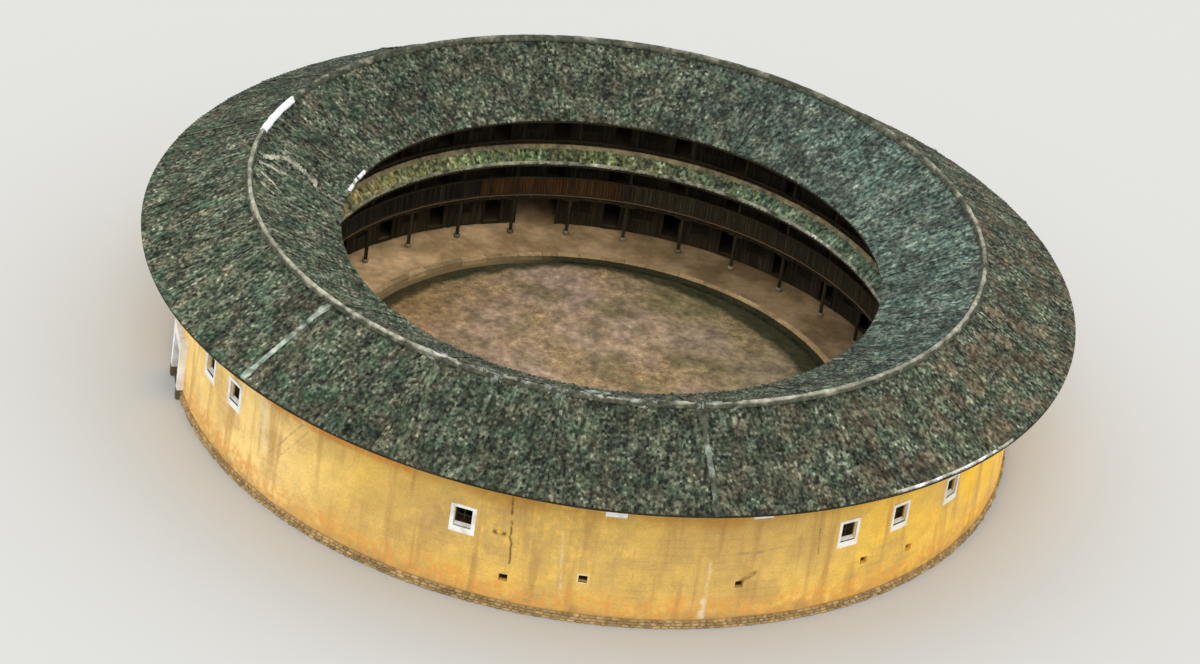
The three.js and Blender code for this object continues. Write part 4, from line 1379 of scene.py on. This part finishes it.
def add_drain(finish):
    """The flat drain between the kerb and the court."""
    pile = Pile()
    add_ring(pile, section(COURT_RADIUS - 0.02, DRAIN_RADIUS, 0, DRAIN_TOP))
    place(pile, "court_drain", finish, "beaten_floor", is_welded=True)


def add_court(finish):
    """The slightly uneven court: a square grid that is pressed into a circle, where the middle of each side
    stays."""
    lines = np.linspace(-1, 1, 145)
    across, along = np.meshgrid(lines, lines, indexing="ij")
    x, y = across * np.sqrt(1 - along ** 2 / 2), along * np.sqrt(1 - across ** 2 / 2)
    surface = COURT_RADIUS * np.stack((x, y, 0 * x), -1)
    dip = 0.012 * (drift(surface, 3, 14) - 1)
    dip = dip + 0.004 * (drift(surface, 0.6, 15) - 1)
    surface[..., 2] = COURT_TOP + np.minimum(dip, 0)
    pile = Pile()
    add_sheets(pile, surface[None], surface[None, ..., :2] * METRE, 0.07)
    place(pile, "court_floor", finish, "beaten_floor", ("courtyard_floor",), crease=60)


def add_floors(boards_finish, wood):
    """Upper floors: boards on radial joists, whose ends show at the gallery's edge."""
    for storey, edge, level, back in (
        ("second", SECOND_FLOOR_EDGE, SECOND_FLOOR, WALL_INNER_RADII[1]),
        ("third", THIRD_FLOOR_EDGE, THIRD_FLOOR, WALL_INNER_RADII[2]),
    ):
        low = level - BOARD_DEPTH
        deck, joists = Pile(), Pile()
        add_ring(deck, section(edge + 0.03, back, low, level))
        nodes = both_halves(f"{storey}_floor")
        place(deck, f"{storey}_floor_boards", boards_finish, "floor_boards", nodes, is_welded=True)
        azimuth = np.arange(JOISTS) * 360 / JOISTS
        add_bars(joists, azimuth, (edge, back), JOIST_HALF_WIDTH, level - FLOOR_DEPTH, low, RADIAL, seed=16)
        place(joists, f"{storey}_floor_joists", wood, "old_timber")


# Storeys of the timber fronts: name, floor, top of the boards, whether gate and hall are open there.
STOREYS = (
    ("ground_floor", GROUND_FLOOR, SECOND_FLOOR - FLOOR_DEPTH, True),
    ("second_floor", SECOND_FLOOR, THIRD_FLOOR - FLOOR_DEPTH, False),
    ("third_floor", THIRD_FLOOR, THIRD_FRONT_TOP, False),
)
DOOR_HALF_WIDTH = 0.45
DOOR_HEIGHT = 1.95
WIDE_HALF_WIDTH = 1.15
WIDE_HEIGHT = 2.2
LATTICE_HALF_WIDTH = 0.5
LATTICE_SILL = 0.85
LATTICE_HEAD = 1.75
BOARD_WIDTH = 0.2


def beside(middles, offsets):
    """Azimuths of places on the front that lie at some offsets beside the middle of each bay."""
    return (middles[:, None] + np.degrees(np.atleast_1d(offsets) / FRONT_MIDDLE)[None]).ravel()


def front_boards(pile, middles, spans, low, high, seed):
    """Upright boards side by side over some spans of each bay, given as distances from the bay's middle."""
    places = []
    halves = []
    for start, end in spans:
        count = max(1, int(round((end - start) / BOARD_WIDTH)))
        width = (end - start) / count
        places.append(start + (np.arange(count) + 0.5) * width)
        halves.append(np.full(count, width / 2 - 0.004))
    azimuth = beside(middles, np.concatenate(places))
    half = np.tile(np.concatenate(halves), len(middles))
    chance = np.random.default_rng(seed)
    back = FRONT_NEAR + 0.045 + chance.uniform(0, 0.012, len(azimuth))
    add_bars(pile, azimuth, (back, back + 0.03), half, low, high, seed=seed)


def add_wide_fronts(pile, bays, bay_half, floor, top, seed):
    """Wide openings of the front at gate and hall: studs, a lintel, and boards above and beside it."""
    wide, lintel = WIDE_HALF_WIDTH, floor + WIDE_HEIGHT
    for edge in (-wide - STUD / 2, wide + STUD / 2):
        add_bars(pile, beside(bays, edge), (FRONT_NEAR, FRONT_FAR), STUD, floor, top, seed=seed + 9)
    add_bars(pile, bays, (FRONT_NEAR, FRONT_FAR), wide, lintel, lintel + 0.14, ACROSS)
    front_boards(pile, bays, ((-wide, wide),), lintel, top, seed + 10)
    front_boards(pile, bays, ((-bay_half, -wide), (wide, bay_half)), floor, top, seed + 11)


def front_timbers(bays, window, floor, top):
    """Squared timbers of a front: studs between the bays, posts, lintel and threshold of each doorway, and
    rails and slats of each window. Each is given as add_bars takes it, with a number for its seed."""
    door_top, sill, head = floor + DOOR_HEIGHT, floor + LATTICE_SILL, floor + LATTICE_HEAD
    whole, recessed = (FRONT_NEAR, FRONT_FAR), (FRONT_NEAR + 0.01, FRONT_FAR)
    slats = window + np.linspace(-LATTICE_HALF_WIDTH, LATTICE_HALF_WIDTH, 11)
    slat_reach = (FRONT_NEAR + 0.03, FRONT_NEAR + 0.06)
    rail, rail_half = 0.035, LATTICE_HALF_WIDTH + 0.04
    door_edge = DOOR_HALF_WIDTH + STUD / 2
    at_door, at_window = beside(bays, -window), beside(bays, window)
    return (
        (BAYS + BAY / 2, whole, STUD, floor, top, UPRIGHT, 4),
        (beside(bays, -window - door_edge), recessed, STUD / 2, floor, door_top, UPRIGHT, 5),
        (beside(bays, -window + door_edge), recessed, STUD / 2, floor, door_top, UPRIGHT, 5),
        (at_door, recessed, DOOR_HALF_WIDTH + STUD, door_top, door_top + 0.1, ACROSS, 6),
        (at_door, recessed, DOOR_HALF_WIDTH, floor, floor + 0.12, ACROSS, 6),
        (at_window, whole, rail_half, sill - rail, sill + rail, ACROSS, 7),
        (at_window, whole, rail_half, head - rail, head + rail, ACROSS, 7),
        (beside(bays, slats), slat_reach, 0.015, sill, head, UPRIGHT, 8),
    )


def add_fronts(name, floor, top, has_wide, finish, seed):
    """Timber front of a storey: a head beam, studs and boards, with a framed doorway and a barred window in
    every bay, a dark board behind the bars, and a wide opening instead at gate and hall."""
    bay_half, window = np.radians(BAY / 2) * FRONT_MIDDLE, np.radians(BAY / 4) * FRONT_MIDDLE
    is_wide = has_wide & np.isin(BAYS, (GATE_AZIMUTH % 360, HALL_AZIMUTH))
    bays = BAYS[~is_wide]
    door_top, sill, head = floor + DOOR_HEIGHT, floor + LATTICE_SILL, floor + LATTICE_HEAD
    left_door, right_door = -window - DOOR_HALF_WIDTH, -window + DOOR_HALF_WIDTH
    left_window, right_window = window - LATTICE_HALF_WIDTH, window + LATTICE_HALF_WIDTH
    pile = Pile()
    for number, (spans, low, high) in enumerate((
        (((-bay_half, left_door), (right_door, left_window), (right_window, bay_half)), floor, top),
        (((left_door, right_door),), door_top, top),
        (((left_window, right_window),), floor, sill),
        (((left_window, right_window),), head, top),
    )):
        front_boards(pile, bays, spans, low, high, seed + number)
    for azimuth, reach, half, low, high, grain, number in front_timbers(bays, window, floor, top):
        add_bars(pile, azimuth, reach, half, low, high, grain, seed=seed + number)
    backing = (FRONT_NEAR + 0.08, FRONT_NEAR + 0.1)
    add_bars(pile, beside(bays, window), backing, LATTICE_HALF_WIDTH, sill, head, tone=0.0)
    if has_wide:
        add_wide_fronts(pile, BAYS[is_wide], bay_half, floor, top, seed)
    add_ring(pile, section(FRONT_NEAR + 0.01, FRONT_FAR, top - 0.1, top))
    place(pile, f"{name}_fronts", finish, "old_timber", both_halves(f"{name}_rooms"), is_welded=True)


def add_post_bases(finish):
    """Drum-shaped stone bases under the posts of the ground floor."""
    pile = Pile()
    add_turned(pile, POST_AZIMUTHS, POST_RING, GROUND_FLOOR + BASE_HEIGHTS, BASE_RADII, 16)
    place(pile, "post_bases", finish, "field_stone", crease=40)


def add_galleries(wood):
    """Round posts and ring beams of the three storeys, with short brackets under each beam."""
    inner, outer = POST_RING - BEAM_HALF_WIDTH, POST_RING + BEAM_HALF_WIDTH
    swell = 1.0 + 0.08 * np.sin(np.pi * np.linspace(0.15, 0.9, 6))
    for number, (name, floor, top, _) in enumerate(STOREYS):
        head = np.array([top, top])
        if name == "third_floor":
            head = np.array([slope_height(INNER, radius) - ROOF_DEPTH for radius in (inner, outer)])
        foot = floor + BASE_HEIGHTS[-1] if name == "ground_floor" else floor
        low = head[0] - BEAM_HEIGHT
        pile = Pile()
        levels = np.linspace(foot, low, 6)
        add_turned(pile, POST_AZIMUTHS, POST_RING, levels, POST_RADIUS * swell, seed=20 + number)
        add_ring(pile, section(inner, outer, low, head))
        add_bars(pile, POST_AZIMUTHS, (inner + 0.03, outer - 0.03), 0.45,
                 low - 0.1, low, ACROSS, seed=30 + number)
        nodes = both_halves(f"{name}_gallery_posts")
        place(pile, f"{name}_posts", wood, "old_timber", nodes, is_welded=True)


def add_balustrade(name, floor, rail_top, is_boarded, wood, pale_wood, seed):
    """Balustrade: a rail and a sill on the floor, with boards or spindles between. Some bays of the boarded
    one have newer, browner boards, and those beside them on the left are darkened as painted shade."""
    near, far = BALUSTRADE_NEAR, BALUSTRADE_FAR
    low, high = floor + 0.1, rail_top - 0.07
    pile = Pile()
    add_ring(pile, section(near, far, high, rail_top))
    add_ring(pile, section(near + 0.01, far - 0.01, floor, low))
    post = (near + 0.005, far - 0.005)
    add_bars(pile, FACET_AZIMUTHS, post, 0.045, floor, rail_top, seed=seed)
    azimuth = np.arange(SPINDLES) * 360 / SPINDLES
    half = (0.075 if is_boarded else 0.035)
    reach = (near + 0.025, far - 0.03)
    newer = is_boarded & (near_azimuth(azimuth, 179, 14, 0.5) > 0.5)
    chosen = azimuth[~newer]
    tone = np.random.default_rng(seed).uniform(0, 1, len(chosen))
    # Painted shade: the boards on the left are darkened.
    tone -= is_boarded * near_azimuth(chosen, -145, 30, 15)
    add_bars(pile, chosen, reach, half, low, high, tone=tone, seed=seed + 1)
    place(pile, f"{name}_rails", wood, "old_timber", (name,), is_welded=True)
    if is_boarded:
        extra = Pile()
        add_bars(extra, azimuth[newer], reach, half, low, high, seed=seed + 2)
        place(extra, f"{name}_newer_boards", pale_wood, "old_timber")


def dress_frame_node(name, finish):
    """Gives a node of the frame its finish in every slot."""
    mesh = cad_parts[name].data
    if not mesh.materials:
        mesh.materials.append(finish)
    for index in range(len(mesh.materials)):
        mesh.materials[index] = finish


def add_stage():
    """A plain pale floor, wide enough for every view, and soft even light with one broad sun."""
    reach = STUDIO_REACH
    corners = [(-reach, -reach, 0), (reach, -reach, 0), (reach, reach, 0), (-reach, reach, 0)]
    mesh = bpy.data.meshes.new("studio_floor")
    mesh.from_pydata(corners, [], [(0, 1, 2, 3)])
    floor = bpy.data.objects.new("studio_floor", mesh)
    bpy.context.scene.collection.objects.link(floor)
    pale = bpy.data.materials.new("studio_floor")
    pale.use_nodes = True
    shader = pale.node_tree.nodes["Principled BSDF"]
    shader.inputs["Base Color"].default_value = tint(206, 204, 198)
    shader.inputs["Roughness"].default_value = 1.0
    shader.inputs["Specular IOR Level"].default_value = 0.0
    mesh.materials.append(pale)
    world = bpy.data.worlds.new("studio")
    world.use_nodes = True
    world.node_tree.nodes["Background"].inputs["Color"].default_value = tint(236, 240, 246)
    world.node_tree.nodes["Background"].inputs["Strength"].default_value = SKY_STRENGTH
    bpy.context.scene.world = world
    sun_data = bpy.data.lights.new("broad_sun", "SUN")
    sun_data.energy = SUN_STRENGTH
    sun_data.angle = np.radians(SUN_BREADTH)
    sun_data.color = SUN_COLOUR
    sun = bpy.data.objects.new("broad_sun", sun_data)
    sun.rotation_euler = np.radians(SUN_TURN)
    bpy.context.scene.collection.objects.link(sun)


def add_camera():
    """The camera: it looks from its azimuth at the middle of the house, rolled as the photograph is."""
    eye = Vector(on_ring(CAMERA_DISTANCE, CAMERA_AZIMUTH, CAMERA_HEIGHT)) * METRE
    forward = (Vector((0, 0, CAMERA_AIM)) * METRE - eye).normalized()
    right = forward.cross(Vector((0, 0, 1))).normalized()
    upward = right.cross(forward)
    turn = Matrix.Rotation(np.radians(CAMERA_ROLL), 3, -forward)
    right, upward = turn @ right, turn @ upward
    data = bpy.data.cameras.new("camera")
    data.lens = CAMERA_LENS
    data.sensor_width = SENSOR_WIDTH
    data.clip_end = FARTHEST_SEEN
    camera = bpy.data.objects.new("camera", data)
    axes = Matrix((right, upward, -forward)).transposed()
    camera.matrix_world = Matrix.Translation(eye) @ axes.to_4x4()
    bpy.context.scene.collection.objects.link(camera)
    bpy.context.scene.camera = camera


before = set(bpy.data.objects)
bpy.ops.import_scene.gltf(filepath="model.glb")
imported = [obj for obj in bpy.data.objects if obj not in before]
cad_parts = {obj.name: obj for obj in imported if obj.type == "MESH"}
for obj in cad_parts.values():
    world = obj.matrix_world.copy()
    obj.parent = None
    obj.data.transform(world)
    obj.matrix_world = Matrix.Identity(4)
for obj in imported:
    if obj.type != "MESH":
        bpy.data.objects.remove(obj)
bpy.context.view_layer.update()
bpy.context.scene.view_settings.view_transform = "Standard"

add_camera()
add_stage()

TILE = roof_tile("weathered_tile", 1.0, tint(50, 55, 45), tint(104, 109, 88))
WAIST_TILE = roof_tile("dusty_tile", 1.45, tint(56, 62, 38), tint(114, 126, 80), left_dust=0.65)
MORTAR = mortar("lime_mortar", tint(150, 146, 124), tint(206, 200, 178))
SEAM_MORTAR = mortar("blue_green_mortar", tint(140, 168, 152), tint(214, 212, 196))
EARTH = rammed_earth()
PLASTER = limewash("white_plaster", tint(252, 251, 246), tint(210, 200, 176))
OLD_PLASTER = limewash("old_plaster", tint(232, 208, 156), tint(206, 174, 116))
STONE = field_stone("field_stone", tint(148, 122, 82), tint(204, 174, 122))
GRANITE = field_stone("granite", tint(96, 88, 72), tint(148, 138, 116))
KERB_STONE = field_stone("kerb_stone", tint(166, 138, 98), tint(206, 174, 126), moss_top=GROUND_FLOOR * METRE)
MUD = field_stone("mud_bedding", tint(158, 126, 76), tint(204, 166, 104))
GREY_MORTAR = mortar("grey_mortar", tint(138, 148, 140), tint(196, 198, 184))
CLAY_MORTAR = mortar("clay_mortar", tint(134, 118, 84), tint(186, 168, 128))
TIMBER = timber("old_timber", tint(25, 23, 15), tint(70, 60, 40))
FRAME_TIMBER = timber("frame_timber", tint(25, 23, 15), tint(70, 60, 40), is_from_frame=True)
BOARDS = timber("worn_boards", tint(92, 70, 48), tint(140, 112, 80))
NEW_BOARDS = timber("newer_boards", tint(42, 28, 10), tint(84, 56, 24))
SOFFIT = timber("soffit_boards", tint(76, 56, 36), tint(120, 92, 60))
COBBLES = court_cobbles()
PAVING = beaten_floor()
MOSS = drain_moss()

add_slope_tiles("outer", OUTER, TILE)
add_slope_tiles("inner", INNER, TILE)
add_waist_tiles(WAIST_TILE)
add_waist_fillet(CLAY_MORTAR)
add_seams("outer_roof", OUTER, TILE, SEAM_MORTAR)
add_seams("inner_roof", INNER, TILE, SEAM_MORTAR)
add_ridge(MORTAR)
add_ridge_dabs(GREY_MORTAR)
add_eave_mortar(MORTAR)
add_bare_streaks(MORTAR)
add_roof_timbers(TIMBER, SOFFIT)
add_eave_carriers(TIMBER)

add_wall(EARTH)
add_window_plaster(PLASTER)
add_vent_rim(OLD_PLASTER)
add_window_timbers(TIMBER)
add_footing(STONE, MUD)
add_gate(PLASTER, GRANITE, TIMBER)
add_raised_floor(PAVING)
add_kerb(KERB_STONE)
add_drain(MOSS)
add_court(COBBLES)
add_floors(BOARDS, TIMBER)
for number, (storey, floor_level, front_top, has_wide_openings) in enumerate(STOREYS):
    add_fronts(storey, floor_level, front_top, has_wide_openings, TIMBER, 40 + 20 * number)
add_post_bases(GRANITE)
add_galleries(TIMBER)
add_balustrade("second_floor_balustrade", SECOND_FLOOR, SECOND_RAIL_TOP, True, TIMBER, NEW_BOARDS, 110)
add_balustrade("third_floor_balustrade", THIRD_FLOOR, THIRD_RAIL_TOP, False, TIMBER, NEW_BOARDS, 120)

dress_frame_node("gate_threshold", GRANITE)
for node_name in both_halves("ridge_purlin_and_posts"):
    dress_frame_node(node_name, FRAME_TIMBER)
